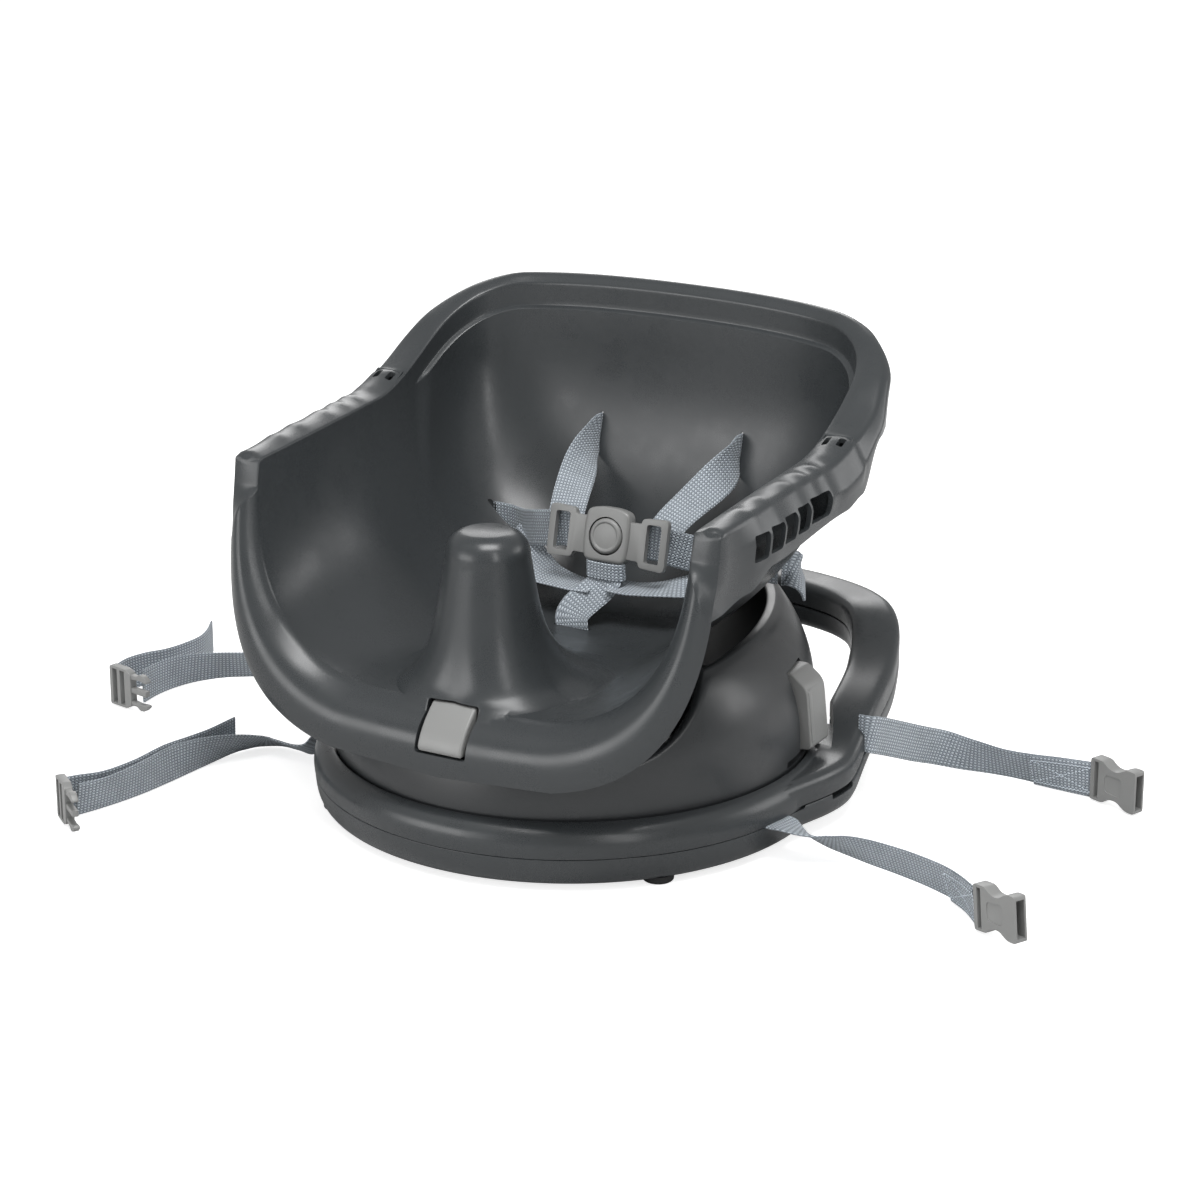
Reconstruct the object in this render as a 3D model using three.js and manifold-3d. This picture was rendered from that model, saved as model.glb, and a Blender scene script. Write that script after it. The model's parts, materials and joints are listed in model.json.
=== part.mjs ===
// Booster seat for a dining chair: a bucket that reclines on a height column, in a pod that swivels
// on a strapped base. Millimetres, +Z up, the child faces -Y, and the floor is at z = 0.

import * as THREE from 'three';
import { mergeVertices, mergeGeometries } from 'three/addons/utils/BufferGeometryUtils.js';
import Module from 'manifold-3d';

const wasm = await Module();
wasm.setup();

// Clearances
const gap = 0.3;
const runningGap = 0.4;
const pivotPlay = 0.08;

// Base and its loop handle
const wall = 3;
const footHeight = 4;
const footRadius = 10;
const footCircle = 156;
const baseRadius = 171;
const seamZ = 23;
const ringTopZ = 44;
const podSeamRadius = 157;
const ledgeTopZ = 38;
const ledgeInnerRadius = 118;
const roundSegments = 60;
const railWidth = 33;
const railHeight = 33;
const railTop = 95.5;
const railRearY = 231;
const railSteps = 40;
const strapSlotHeight = 27;
const frontSlotY = -31;
const rearSlot = [176, 77, 49];

// Pod that carries the seat
const podTopZ = 123;
const podTopHalfWidth = 127.5;
const podRearGrowth = 24;
const podFrontDraw = 27.5;
const podRimBand = 8;
const podFrontDip = 46;
const podSteps = 56;

// Side levers
const leverY = [31, 57];
const leverZ = [46, 99];
const leverProud = 10;
const leverPivotZ = 52;
const leverPivotX = 136;
const leverPinRadius = 2.5;
const latchZ = 74;
const latchY = 40;

// Height column and its guide
const columnY = 20;
const columnWidth = 68;
const columnDepth = 58;
const columnFootZ = 12;
const guideTopZ = 84;
const pivotZ = 88;
const pivotRadius = 4;

// Seat bucket
const shell = 3.2;
const floorZ = 109;
const armZ = 239;
const lipHalfWidth = 174;
const lipBottomZ = 68.5;
const lipTopY = -126;
const lipReach = 42;
const creaseHalfWidth = 155.5;
const creaseY = -125;
const creaseReach = 21;
const wallHalfWidth = 156;
const floorHalfWidth = 57;
const floorRearY = 62;
const backTopY = 145;
const backTopZ = 309;
const sideEndY = 60;
const postY = -104;
const postTopZ = 211;
const postTopRadius = 27;
const postFootRadius = 42;

// Recline button at the front of the bucket
const buttonWidth = 33;
const buttonZ = [83, 110.5];
const buttonTravel = 5;

// Harness and chair straps
const webWidth = 25;
const webThick = 1.5;
const shoulderSlotX = 54;
const shoulderSlotZ = 218;
const waistSlotY = 84;
const waistSlotZ = 150;
const crotchSlotY = 22;
const buckleCentre = [0, 46, 165];
const buckleSize = 40;
const buckleTravel = 3;

const grey = { color: 0x4b5053, roughness: 0.42, metalness: 0 };
const podGrey = { color: 0x4c4f50, roughness: 0.42, metalness: 0 };
const paleGrey = { color: 0x86888a, roughness: 0.4, metalness: 0 };
const webGrey = { color: 0x9aa1a8, roughness: 0.9, metalness: 0 };
const rubber = { color: 0x151515, roughness: 0.8, metalness: 0 };
const steel = { color: 0xb0b3b6, roughness: 0.3, metalness: 1 };
const acetal = { color: 0xe4e4e0, roughness: 0.5, metalness: 0 };

// Helpers for solids

function bare(geometry) {
  const copy = geometry.clone();
  for (const name of Object.keys(copy.attributes)) if (name !== 'position') copy.deleteAttribute(name);
  return mergeVertices(copy, 1e-4);
}

function toSolid(geometry) {
  const merged = bare(geometry);
  const mesh = new wasm.Mesh({
    numProp: 3,
    vertProperties: new Float32Array(merged.attributes.position.array),
    triVerts: new Uint32Array(merged.index.array),
  });
  return new wasm.Manifold(mesh);
}

function toGeometry(solid) {
  const mesh = solid.getMesh();
  const geometry = new THREE.BufferGeometry();
  geometry.setAttribute('position', new THREE.BufferAttribute(new Float32Array(mesh.vertProperties), 3));
  geometry.setIndex(new THREE.BufferAttribute(new Uint32Array(mesh.triVerts), 1));
  geometry.computeVertexNormals();
  return geometry;
}

function join(...parts) {
  return toGeometry(parts.map(toSolid).reduce((all, part) => all.add(part)));
}

function cut(body, ...tools) {
  return toGeometry(tools.map(toSolid).reduce((left, tool) => left.subtract(tool), toSolid(body)));
}

function block(x0, x1, y0, y1, z0, z1) {
  const box = new THREE.BoxGeometry(x1 - x0, y1 - y0, z1 - z0);
  return box.translate((x0 + x1) / 2, (y0 + y1) / 2, (z0 + z1) / 2);
}

// A rod between two points
function rod(a, b, radius, sides = 20) {
  const from = new THREE.Vector3(...a);
  const along = new THREE.Vector3(...b).sub(from);
  const geometry = new THREE.CylinderGeometry(radius, radius, along.length(), sides);
  geometry.translate(0, along.length() / 2, 0);
  const turn = new THREE.Quaternion().setFromUnitVectors(new THREE.Vector3(0, 1, 0), along.normalize());
  return geometry.applyQuaternion(turn).translate(...a);
}

// A closed profile of [radius, z] pairs, turned about the z axis
function turned(profile, segments = roundSegments) {
  const points = [...profile, profile[0]].map(([r, z]) => new THREE.Vector2(r, z));
  return new THREE.LatheGeometry(points, segments).rotateX(Math.PI / 2);
}

function meshOf(points, faces) {
  const geometry = new THREE.BufferGeometry();
  geometry.setAttribute('position', new THREE.Float32BufferAttribute(points.flat(), 3));
  geometry.setIndex(faces.flat());
  return geometry;
}

// Skin over rows of points; a closed row joins its last point to its first
function skin(rows, closedRows, closedColumn) {
  const count = rows[0].length;
  const faces = [];
  const rowEnd = closedColumn ? rows.length : rows.length - 1;
  const pointEnd = closedRows ? count : count - 1;
  for (let i = 0; i < rowEnd; i++) {
    for (let j = 0; j < pointEnd; j++) {
      const a = i * count + j;
      const b = i * count + ((j + 1) % count);
      const c = ((i + 1) % rows.length) * count + j;
      const d = ((i + 1) % rows.length) * count + ((j + 1) % count);
      faces.push([a, b, d], [a, d, c]);
    }
  }
  return { points: rows.flat(), faces };
}

function outwards(geometry) {
  const solid = geometry.clone();
  const p = solid.attributes.position;
  const index = solid.index.array;
  let volume = 0;
  const [a, b, c] = [new THREE.Vector3(), new THREE.Vector3(), new THREE.Vector3()];
  for (let i = 0; i < index.length; i += 3) {
    a.fromBufferAttribute(p, index[i]);
    b.fromBufferAttribute(p, index[i + 1]);
    c.fromBufferAttribute(p, index[i + 2]);
    volume += a.dot(b.cross(c));
  }
  if (volume >= 0) return solid;
  for (let i = 0; i < index.length; i += 3) [index[i], index[i + 1]] = [index[i + 1], index[i]];
  return solid;
}

// A closed loop of sections, each a closed ring of points
function hoop(sections) {
  const { points, faces } = skin(sections, true, true);
  return outwards(meshOf(points, faces));
}

// A run of sections, each a closed ring of points, capped flat at both ends
function loft(sections) {
  const { points, faces } = skin(sections, true, false);
  const count = sections[0].length;
  for (const [row, flip] of [[0, true], [sections.length - 1, false]]) {
    const middle = [0, 1, 2].map((k) => sections[row].reduce((sum, q) => sum + q[k], 0) / count);
    points.push(middle);
    for (let j = 0; j < count; j++) {
      const edge = [row * count + j, row * count + ((j + 1) % count)];
      if (flip) edge.reverse();
      faces.push([...edge, points.length - 1]);
    }
  }
  return outwards(meshOf(points, faces));
}

// An open surface given a wall on its back: each face of it is seen from its front
function walled(points, faces, thickness) {
  const merged = mergeVertices(meshOf(points, faces), 1e-3);
  const place = merged.attributes.position;
  const count = place.count;
  const index = [...merged.index.array];
  const normals = Array.from({ length: count }, () => new THREE.Vector3());
  const at = (i) => new THREE.Vector3().fromBufferAttribute(place, i);
  const kept = [];
  const edges = new Map();
  for (let i = 0; i < index.length; i += 3) {
    const [a, b, c] = [index[i], index[i + 1], index[i + 2]];
    if (a === b || b === c || a === c) continue;
    const normal = at(b).sub(at(a)).cross(at(c).sub(at(a)));
    for (const k of [a, b, c]) normals[k].add(normal);
    kept.push([a, b, c]);
    for (const [s, e] of [[a, b], [b, c], [c, a]]) {
      if (edges.has(`${e},${s}`)) edges.delete(`${e},${s}`);
      else edges.set(`${s},${e}`, [s, e]);
    }
  }
  const all = [];
  for (let i = 0; i < count; i++) all.push(at(i).toArray());
  for (let i = 0; i < count; i++) {
    all.push(at(i).addScaledVector(normals[i].normalize(), -thickness).toArray());
  }
  const closed = [...kept, ...kept.map(([a, b, c]) => [a + count, c + count, b + count])];
  for (const [s, e] of edges.values()) closed.push([s, s + count, e + count], [s, e + count, e]);
  return meshOf(all, closed);
}

// A [y, z] outline run along x, with its end edges rounded by a bevel
function bevelled(outline, x0, x1, bevel) {
  const middle = [0, 1].map((k) => outline.reduce((sum, q) => sum + q[k], 0) / outline.length);
  const reach = Math.max(...outline.map((q) => Math.hypot(q[0] - middle[0], q[1] - middle[1])));
  const sectionAt = (x, inset) => outline.map(([y, z]) => {
    const share = 1 - inset / reach;
    return [x, middle[0] + (y - middle[0]) * share, middle[1] + (z - middle[1]) * share];
  });
  const corner = bevel * 0.3;
  return loft([sectionAt(x0, bevel), sectionAt(x0 + corner, corner), sectionAt(x0 + bevel, 0),
    sectionAt(x1 - bevel, 0), sectionAt(x1 - corner, corner), sectionAt(x1, bevel)]);
}

function smooth(t) {
  const u = Math.min(1, Math.max(0, t));
  return u * u * (3 - 2 * u);
}

// A value that runs smoothly through stations of [place, value]
function between(stations, at) {
  if (at <= stations[0][0]) return stations[0][1];
  for (let i = 1; i < stations.length; i++) {
    const [x1, y1] = stations[i];
    const [x0, y0] = stations[i - 1];
    if (at <= x1) return y0 + (y1 - y0) * smooth((at - x0) / (x1 - x0));
  }
  return stations[stations.length - 1][1];
}

// Points spaced evenly, or at given shares, along a line of points
function respaced(line, shares) {
  const run = [0];
  for (let i = 1; i < line.length; i++) {
    run.push(run[i - 1] + Math.hypot(...line[i].map((v, k) => v - line[i - 1][k])));
  }
  return shares.map((share) => {
    const at = share * run[run.length - 1];
    let i = 1;
    while (i < run.length - 1 && run[i] < at) i++;
    const t = Math.min(1, Math.max(0, (at - run[i - 1]) / (run[i] - run[i - 1])));
    return line[i].map((v, k) => line[i - 1][k] + (v - line[i - 1][k]) * t);
  });
}

function mirrorX(geometry) {
  return outwards(bare(geometry).scale(-1, 1, 1));
}

const model = new THREE.Group();
const object = new THREE.Group();
model.add(object);

function add(name, geometry, finish) {
  const mesh = new THREE.Mesh(geometry, new THREE.MeshStandardMaterial(finish));
  mesh.name = name;
  object.add(mesh);
}

// Loop handle of the base, as a run of rail sections

const railStations = [[148, -30], [156, 0], [163, 26], [165, 45], [162, 70], [159, 92], [154, 122],
  [147, 152], [133, 186], [104, 214], [60, railRearY - 2], [0, railRearY]];

function railTopAt(y) {
  const [startY, endY] = [56, 190];
  const share = Math.min(1, Math.max(0, (y - startY) / (endY - startY)));
  const eased = share + 0.09 * Math.sin(2 * Math.PI * share) - 0.02 * Math.sin(Math.PI * share);
  return ringTopZ - 2 + (railTop - ringTopZ + 2) * eased;
}

function railSections(fromShare, toShare) {
  const right = railStations.map(([x, y]) => new THREE.Vector3(x, y, 0));
  const left = railStations.slice(0, -1).reverse().map(([x, y]) => new THREE.Vector3(-x, y, 0));
  const curve = new THREE.CatmullRomCurve3([...right, ...left], false, 'centripetal');
  const corner = 9;
  return Array.from({ length: railSteps + 1 }, (_, i) => {
    const point = curve.getPointAt(i / railSteps);
    const along = curve.getTangentAt(i / railSteps);
    const side = new THREE.Vector3(along.y, -along.x, 0).normalize();
    const top = railTopAt(point.y);
    const low = top - railHeight + railHeight * fromShare;
    const high = top - railHeight + railHeight * toShare;
    const ring = [];
    for (const [su, sv] of [[1, 1], [-1, 1], [-1, -1], [1, -1]]) {
      const square = (sv > 0 && toShare < 1) || (sv < 0 && fromShare > 0);
      const steps = square ? [0.5] : [0, 0.5, 1];
      for (const share of steps) {
        const start = { '1,1': 0, '-1,1': 1, '-1,-1': 2, '1,-1': 3 }[`${su},${sv}`];
        const angle = (start + share) * (Math.PI / 2);
        const u = square ? (su * railWidth) / 2 : su * (railWidth / 2 - corner) + corner * Math.cos(angle);
        const edge = sv > 0 ? high : low;
        const v = square ? edge : edge - sv * corner + corner * Math.sin(angle);
        ring.push([point.x + side.x * u, point.y + side.y * u, v]);
      }
    }
    return ring;
  });
}

const railSplit = 0.48;
const splitGap = 1 / railHeight;
const leverSweepRadius = 172.5;

// Base: lower pan and upper ring, each with its half of the loop

const wellRadius = 68;
const footAngles = [-40, 40, 140, 220].map((degrees) => THREE.MathUtils.degToRad(degrees));

function footAt(angle, radius, z0, z1, bevel) {
  const foot = turned([[0, z0], [radius - bevel, z0], [radius, z0 + bevel], [radius, z1], [0, z1]], 18);
  return foot.translate(footCircle * Math.cos(angle), footCircle * Math.sin(angle), 0);
}

function basePan() {
  const edge = baseRadius - 0.6;
  const pan = turned([
    [0, footHeight + 1.5], [157, footHeight + 1.5], [158.5, footHeight], [162, footHeight],
    [166.5, footHeight + 1.6], [169.4, footHeight + 8], [edge, seamZ - gap / 2],
    [edge - wall, seamZ - gap / 2], [166.4, footHeight + 9], [162.5, footHeight + 4.5], [0, footHeight + 4.5],
  ]);
  const ribs = [];
  const ribCount = 12;
  for (let i = 0; i < ribCount; i++) {
    const rib = block(wellRadius + 1, 166.5, -1.2, 1.2, footHeight + 4, seamZ - 6);
    ribs.push(rib.rotateZ(((i + 0.5) * 2 * Math.PI) / ribCount));
  }
  const well = turned([[wellRadius, footHeight + 4], [wellRadius + wall, footHeight + 4],
    [wellRadius + wall, seamZ - 2], [wellRadius, seamZ - 2]], 48);
  const lowerRail = loft(railSections(0, railSplit - splitGap / 2));
  const hollow = turned([[0, 0], [baseRadius - 4, 0], [baseRadius - 4, 60], [0, 60]]);
  const loop = toGeometry(toSolid(lowerRail).subtract(toSolid(hollow)));
  const above = turned([[0, seamZ - gap / 2], [baseRadius + 1.5, seamZ - gap / 2],
    [baseRadius + 1.5, 60], [0, 60]]);
  const pockets = footAngles.map((angle) => footAt(angle, footRadius + gap, 0, footHeight + 1.5, 0.1));
  return cut(join(pan, well, ...ribs, cut(loop, above)), ...strapSlots(), ...pockets);
}

function baseRing() {
  const ring = turned([
    [baseRadius - 0.5, seamZ + gap / 2], [baseRadius, seamZ + 5], [baseRadius - 0.4, seamZ + 10],
    [baseRadius - 2.4, seamZ + 15], [baseRadius - 6.5, ringTopZ - 1.8], [podSeamRadius + 1.8, ringTopZ],
    [podSeamRadius + 1.8, ledgeTopZ], [ledgeInnerRadius, ledgeTopZ], [ledgeInnerRadius, ledgeTopZ - 8],
    [ledgeInnerRadius + wall, ledgeTopZ - 8], [ledgeInnerRadius + wall, ledgeTopZ - wall],
    [podSeamRadius + 1.2, ledgeTopZ - wall], [baseRadius - 8.5, ringTopZ - 5],
    [baseRadius - 5.2, seamZ + 13], [baseRadius - 3.4, seamZ + 8], [baseRadius - 3.5, seamZ + gap / 2],
  ]);
  const upperRail = loft(railSections(railSplit + splitGap / 2, 1).reverse());
  const hollow = turned([[0, 0], [baseRadius - 4, 0], [baseRadius - 4, ringTopZ - 3], [0, ringTopZ - 3]]);
  const sweep = turned([[0, ringTopZ - 3.2], [podSeamRadius + 1.8, ringTopZ - 3.2],
    [podSeamRadius + 1.8, ringTopZ + 0.2], [leverSweepRadius, ringTopZ + 0.2], [leverSweepRadius, 140],
    [0, 140]]);
  const splitZ = seamZ + gap / 2;
  const below = turned([[0, 0], [baseRadius + 1.5, 0], [baseRadius + 1.5, splitZ], [0, splitZ]]);
  const lip = turned([[baseRadius - 6, 0], [baseRadius + 1, 0], [baseRadius + 1, splitZ],
    [baseRadius - 6, splitZ]]);
  return cut(join(ring, cut(upperRail, hollow, sweep, below)), lip, ...strapSlots());
}

// Openings that the four chair straps leave the base by
function strapSlots() {
  const slots = [];
  const half = strapSlotHeight / 2;
  const [rearX, rearY, rearZ] = rearSlot;
  for (const side of [1, -1]) {
    const front = block(150, 190, -half, half, seamZ - 2, seamZ + 2);
    front.rotateZ(Math.asin(frontSlotY / baseRadius));
    const rear = block(rearX - 12, rearX + 14, rearY - 1.8, rearY + 1.8, rearZ - half, rearZ + half);
    for (const slot of [front, rear]) slots.push(side > 0 ? slot : mirrorX(slot));
  }
  return slots;
}

add('base_pan', basePan(), grey);
add('base_ring', baseRing(), grey);

for (const [i, angle] of footAngles.entries()) {
  add(`foot_${i + 1}`, footAt(angle, footRadius, 0, footHeight + 1.5 - gap, 1.2), rubber);
}

// Swivel: a slippery ring on the ledge, the turntable on it, and a retainer under the ledge

const bearingTop = ledgeTopZ + gap + 2.6;
const turntableTop = bearingTop + gap + 2.8;
const hubRadius = ledgeInnerRadius - 2;
const retainerTop = ledgeTopZ - 8 - gap;
const guideOuter = [columnWidth + 2 * runningGap + 2 * wall, columnDepth + 2 * runningGap + 2 * wall];

function guideHole(margin, z0, z1) {
  const [w, d] = guideOuter.map((size) => size / 2 + margin);
  return block(-w, w, columnY - d, columnY + d, z0, z1);
}

const bearingRadii = [ledgeInnerRadius + 4, podSeamRadius - 7];

add('swivel_bearing', turned([[bearingRadii[0], ledgeTopZ + gap], [bearingRadii[1], ledgeTopZ + gap],
  [bearingRadii[1], bearingTop], [bearingRadii[0], bearingTop]]), acetal);

const latchHalf = [4.5, 3.5];

function turntable() {
  const disc = turned([
    [0, bearingTop + gap], [hubRadius - wall, bearingTop + gap], [hubRadius - wall, retainerTop + gap],
    [hubRadius, retainerTop + gap], [hubRadius, bearingTop + gap],
    [podSeamRadius - 0.4, bearingTop + gap], [podSeamRadius - 0.4, turntableTop], [0, turntableTop],
  ]);
  const posts = [];
  for (const side of [1, -1]) {
    const railEnds = [block(96, 106, latchY - 9, latchY + 9, turntableTop - 1, latchZ + 8),
      block(56, 64, latchY - 9, latchY + 9, turntableTop - 1, latchZ + 8)];
    for (const y of [leverY[0] - 5 - gap, leverY[1] + gap]) {
      railEnds.push(block(leverPivotX - 5, leverPivotX + 4.5, y, y + 5, turntableTop - 1, leverPivotZ + 5));
    }
    posts.push(...railEnds.map((part) => (side > 0 ? part : mirrorX(part))));
  }
  const holes = [guideHole(gap, 0, 80)];
  for (const side of [1, -1]) {
    const bar = block(50, 110, latchY - latchHalf[0] - runningGap, latchY + latchHalf[0] + runningGap,
      latchZ - latchHalf[1] - runningGap, latchZ + latchHalf[1] + runningGap);
    const pin = rod([leverPivotX, leverY[0] - 8, leverPivotZ],
      [leverPivotX, leverY[1] + 8, leverPivotZ], leverPinRadius + pivotPlay);
    for (const tool of [bar, pin]) holes.push(side > 0 ? tool : mirrorX(tool));
  }
  return cut(join(disc, ...posts), ...holes);
}

add('turntable', turntable(), podGrey);

const retainerRadius = ledgeInnerRadius + 15;
const retainerDisc = turned([[0, retainerTop - wall], [retainerRadius, retainerTop - wall],
  [retainerRadius, retainerTop], [0, retainerTop]]);
add('swivel_retainer', cut(retainerDisc, guideHole(gap, 0, 80)), podGrey);

// Pod: an egg-shaped cup that grows rearwards from the round seam

function podSection(u) {
  const growth = podSeamRadius - podTopHalfWidth;
  const halfWidth = podTopHalfWidth + growth * Math.pow(1 - Math.pow(u, 2.6), 0.75);
  const rear = podSeamRadius + podRearGrowth * Math.sin((u * Math.PI) / 2);
  const front = podSeamRadius - podFrontDraw * Math.pow(u, 1.5);
  const centre = -30 * Math.pow(u, 1.6);
  const power = 2 + 0.15 * Math.sin(Math.PI * u);
  return (angle) => {
    const [c, s] = [Math.cos(angle), Math.sin(angle)];
    const x = halfWidth * Math.sign(c) * Math.pow(Math.abs(c), 2 / power);
    const reach = s > 0 ? rear - centre : front + centre;
    return [x, centre + reach * Math.sign(s) * Math.pow(Math.abs(s), 2 / power)];
  };
}

function podTopAt(y) {
  return podTopZ - podFrontDip * smooth((-48 - y) / 62);
}

function podWallPoint(angle, z, inset) {
  const u = Math.min(1, (z - turntableTop) / (podTopZ - turntableTop));
  const [x, y] = podSection(u)(angle);
  const length = Math.hypot(x, y);
  return [x - (x / length) * inset, y - (y / length) * inset, z];
}

function podShell() {
  const bottom = turntableTop + gap;
  const rows = 7;
  const sections = Array.from({ length: podSteps }, (_, i) => {
    const angle = ((i + 0.5) / podSteps) * 2 * Math.PI;
    const top = podTopAt(podWallPoint(angle, podTopZ, 0)[1]);
    const ring = [];
    const heights = Array.from({ length: rows + 1 }, (_, k) => (
      bottom + (top - 1.6 - bottom) * Math.pow(k / rows, 0.8)));
    for (const z of heights) ring.push(podWallPoint(angle, z, 0));
    const rimOuter = podWallPoint(angle, top, 0);
    const rimAt = (inset, drop) => {
      const [x, y] = rimOuter;
      const length = Math.hypot(x, y);
      return [x - (x / length) * inset, y - (y / length) * inset, top - drop];
    };
    ring.push(rimAt(1.2, 0), rimAt(podRimBand - 1.2, 0.8), rimAt(podRimBand, 2.4),
      rimAt(podRimBand, 4.4), rimAt(wall, 6));
    for (const z of heights.slice(0, -1).reverse()) {
      ring.push(podWallPoint(angle, Math.min(z, top - 6), wall));
    }
    return ring;
  });
  const tools = [];
  for (const side of [1, -1]) {
    const window = block(leverPivotX - 8, 180, leverY[0] - 3, leverY[1] + 0.8, bottom - 1, leverZ[1] + 2);
    const groove = block(150, 175, 4, leverY[0] - 2, bottom - 1, bottom + 2.4);
    for (const tool of [window, groove]) tools.push(side > 0 ? tool : mirrorX(tool));
  }
  return cut(hoop(sections), ...tools);
}

add('pod_shell', podShell(), podGrey);

// Column guide, a flanged tube through the turntable

function columnGuide() {
  const low = retainerTop - 12;
  const flange = guideHole(10, turntableTop + gap, turntableTop + gap + wall);
  const [w, d] = guideOuter.map((size) => size / 2 - wall);
  const bore = block(-w, w, columnY - d, columnY + d, 0, 200);
  const holes = [1, -1].map((side) => {
    const hole = block(w - 1, w + wall + 1, latchY - latchHalf[0] - 0.6, latchY + latchHalf[0] + 0.6,
      latchZ - latchHalf[1] - 0.6, latchZ + latchHalf[1] + 0.6);
    return side > 0 ? hole : mirrorX(hole);
  });
  return cut(join(guideHole(0, low, guideTopZ), flange), bore, ...holes);
}

add('column_guide', columnGuide(), podGrey);

// Side levers: a grip outside the pod on an arm that draws a latch rod out of the column

function leverGrip() {
  const outerAt = (z) => podWallPoint(Math.atan2(44, 150), z, 0)[0];
  const [low, high] = leverZ;
  const profile = [
    [leverPivotX - 6, leverPivotZ - 5], [leverPivotX + 4, low], [outerAt(low) + leverProud - 2, low + 3],
    [outerAt(low) + leverProud, low + 5], [outerAt(high - 12) + leverProud, high - 9],
    [outerAt(high) + 3, high], [outerAt(high) - 6, high], [outerAt(high) - 6, latchZ + 9],
    [leverPivotX - 6, latchZ + 5], [leverPivotX - 6, latchZ + 2],
  ];
  const shape = new THREE.Shape(profile.map(([x, z]) => new THREE.Vector2(x, z)));
  const bevel = 1.6;
  const depth = leverY[1] - leverY[0] - 2 * bevel;
  const body = new THREE.ExtrudeGeometry(shape, {
    depth, bevelEnabled: true, bevelSize: bevel, bevelThickness: bevel, bevelOffset: -bevel, bevelSegments: 2,
  });
  body.rotateX(Math.PI / 2).translate(0, leverY[1] - bevel, 0);
  const pinHole = rod([leverPivotX, 0, leverPivotZ], [leverPivotX, 90, leverPivotZ],
    leverPinRadius + pivotPlay);
  const pocketHalf = latchHalf[0] + 1;
  const rodPocket = block(leverPivotX - 10, leverPivotX + 1, latchY - pocketHalf, latchY + pocketHalf,
    latchZ - 6, latchZ + 20);
  return cut(body, pinHole, rodPocket);
}

for (const [side, name] of [[1, 'right'], [-1, 'left']]) {
  const own = (geometry) => (side > 0 ? geometry : mirrorX(geometry));
  add(`lever_${name}`, own(leverGrip()), paleGrey);
  add(`lever_pin_${name}`, own(rod([leverPivotX, leverY[0] - 5, leverPivotZ],
    [leverPivotX, leverY[1] + 5, leverPivotZ], leverPinRadius)), steel);
  const tip = columnWidth / 2 + runningGap + gap;
  add(`latch_rod_${name}`, own(block(tip, leverPivotX - 0.3, latchY - latchHalf[0], latchY + latchHalf[0],
    latchZ - latchHalf[1], latchZ + latchHalf[1])), steel);
}

// Height column with the recline pivot at its head

const cheekTop = pivotZ + 9;
const headHalfDepth = 11;
const heightPitch = 15;
const carrierTop = floorZ - shell - gap;

function seatColumn() {
  const [w, d] = [columnWidth / 2, columnDepth / 2];
  const tube = cut(block(-w, w, columnY - d, columnY + d, columnFootZ, pivotZ - 12),
    block(-w + wall, w - wall, columnY - d + wall, columnY + d - wall, columnFootZ - 1, pivotZ - 16));
  const cheeks = block(-w + 6, w - 6, columnY - headHalfDepth, columnY + headHalfDepth,
    pivotZ - 13, cheekTop);
  const head = cut(cheeks, block(-w + 12, w - 12, columnY - 12, columnY + 12, pivotZ - 9, cheekTop + 1));
  const bore = rod([-w, columnY, pivotZ], [w, columnY, pivotZ], pivotRadius + pivotPlay, 24);
  const notches = [];
  for (const side of [1, -1]) {
    for (let i = 1; i <= 3; i++) {
      const z = latchZ - heightPitch * i;
      const [x0, x1] = side > 0 ? [w - 2, w + 1] : [-w - 1, -w + 2];
      notches.push(block(x0, x1, latchY - 5.5, latchY + 5.5, z - 4.5, z + 4.5));
    }
  }
  return cut(join(tube, head), bore, ...notches);
}

add('seat_column', seatColumn(), podGrey);
add('recline_pivot_pin', rod([-columnWidth / 2 + 1, columnY, pivotZ],
  [columnWidth / 2 - 1, columnY, pivotZ], pivotRadius, 24), steel);

// Recline rack: a plate in front of the column head, with a curved window that has notches in its
// front edge. A cross pin of the latch bar drops into them.

const rackX = 3;
const rackPitch = 6;
const rackWindow = [27, 36];
const notchDepth = 3;
const latchPinRadius = 1.3;
const latchPinReach = rackWindow[1] - latchPinRadius - gap;
const latchPinAngle = 4.2;

// A point at a given angle above level and distance in front of the pivot
function beforePivot(degrees, radius) {
  const angle = THREE.MathUtils.degToRad(degrees);
  return [columnY - radius * Math.cos(angle), pivotZ + radius * Math.sin(angle)];
}

// A [y, z] outline run along x
function sidePlate(outline, x0, x1) {
  const shape = new THREE.Shape(outline.map(([y, z]) => new THREE.Vector2(y, z)));
  const body = new THREE.ExtrudeGeometry(shape, { depth: x1 - x0, bevelEnabled: false });
  body.rotateX(Math.PI / 2).rotateZ(Math.PI / 2).translate(x0, 0, 0);
  return outwards(bare(body));
}

function reclineRack() {
  const head = columnY - headHalfDepth - gap;
  const outer = [];
  for (let a = -6; a <= 23; a += 4) outer.push(beforePivot(a, rackWindow[1] + notchDepth + 3.5));
  outer.push([columnY - 14, carrierTop - 1.5], [head, cheekTop - 1], [head, pivotZ - 1]);
  const [first, last] = [latchPinAngle - 4.5, latchPinAngle + 2.7 * rackPitch];
  const slot = [beforePivot(last, rackWindow[0])];
  for (let a = last - 4; a > first; a -= 4) slot.push(beforePivot(a, rackWindow[0]));
  slot.push(beforePivot(first, rackWindow[0]), beforePivot(first, rackWindow[1]));
  const notches = [];
  for (let i = 0; i <= 2; i++) {
    const angle = latchPinAngle + i * rackPitch;
    const [y, z] = beforePivot(angle, rackWindow[1] + notchDepth - latchPinRadius);
    notches.push(rod([-9, y, z], [9, y, z], latchPinRadius + 0.1, 12));
    slot.push(beforePivot(angle, rackWindow[1]));
  }
  slot.push(beforePivot(last, rackWindow[1]));
  return cut(sidePlate(outer, -rackX, rackX), sidePlate(slot, -9, 9), ...notches);
}

add('recline_rack', reclineRack(), steel);

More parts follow.
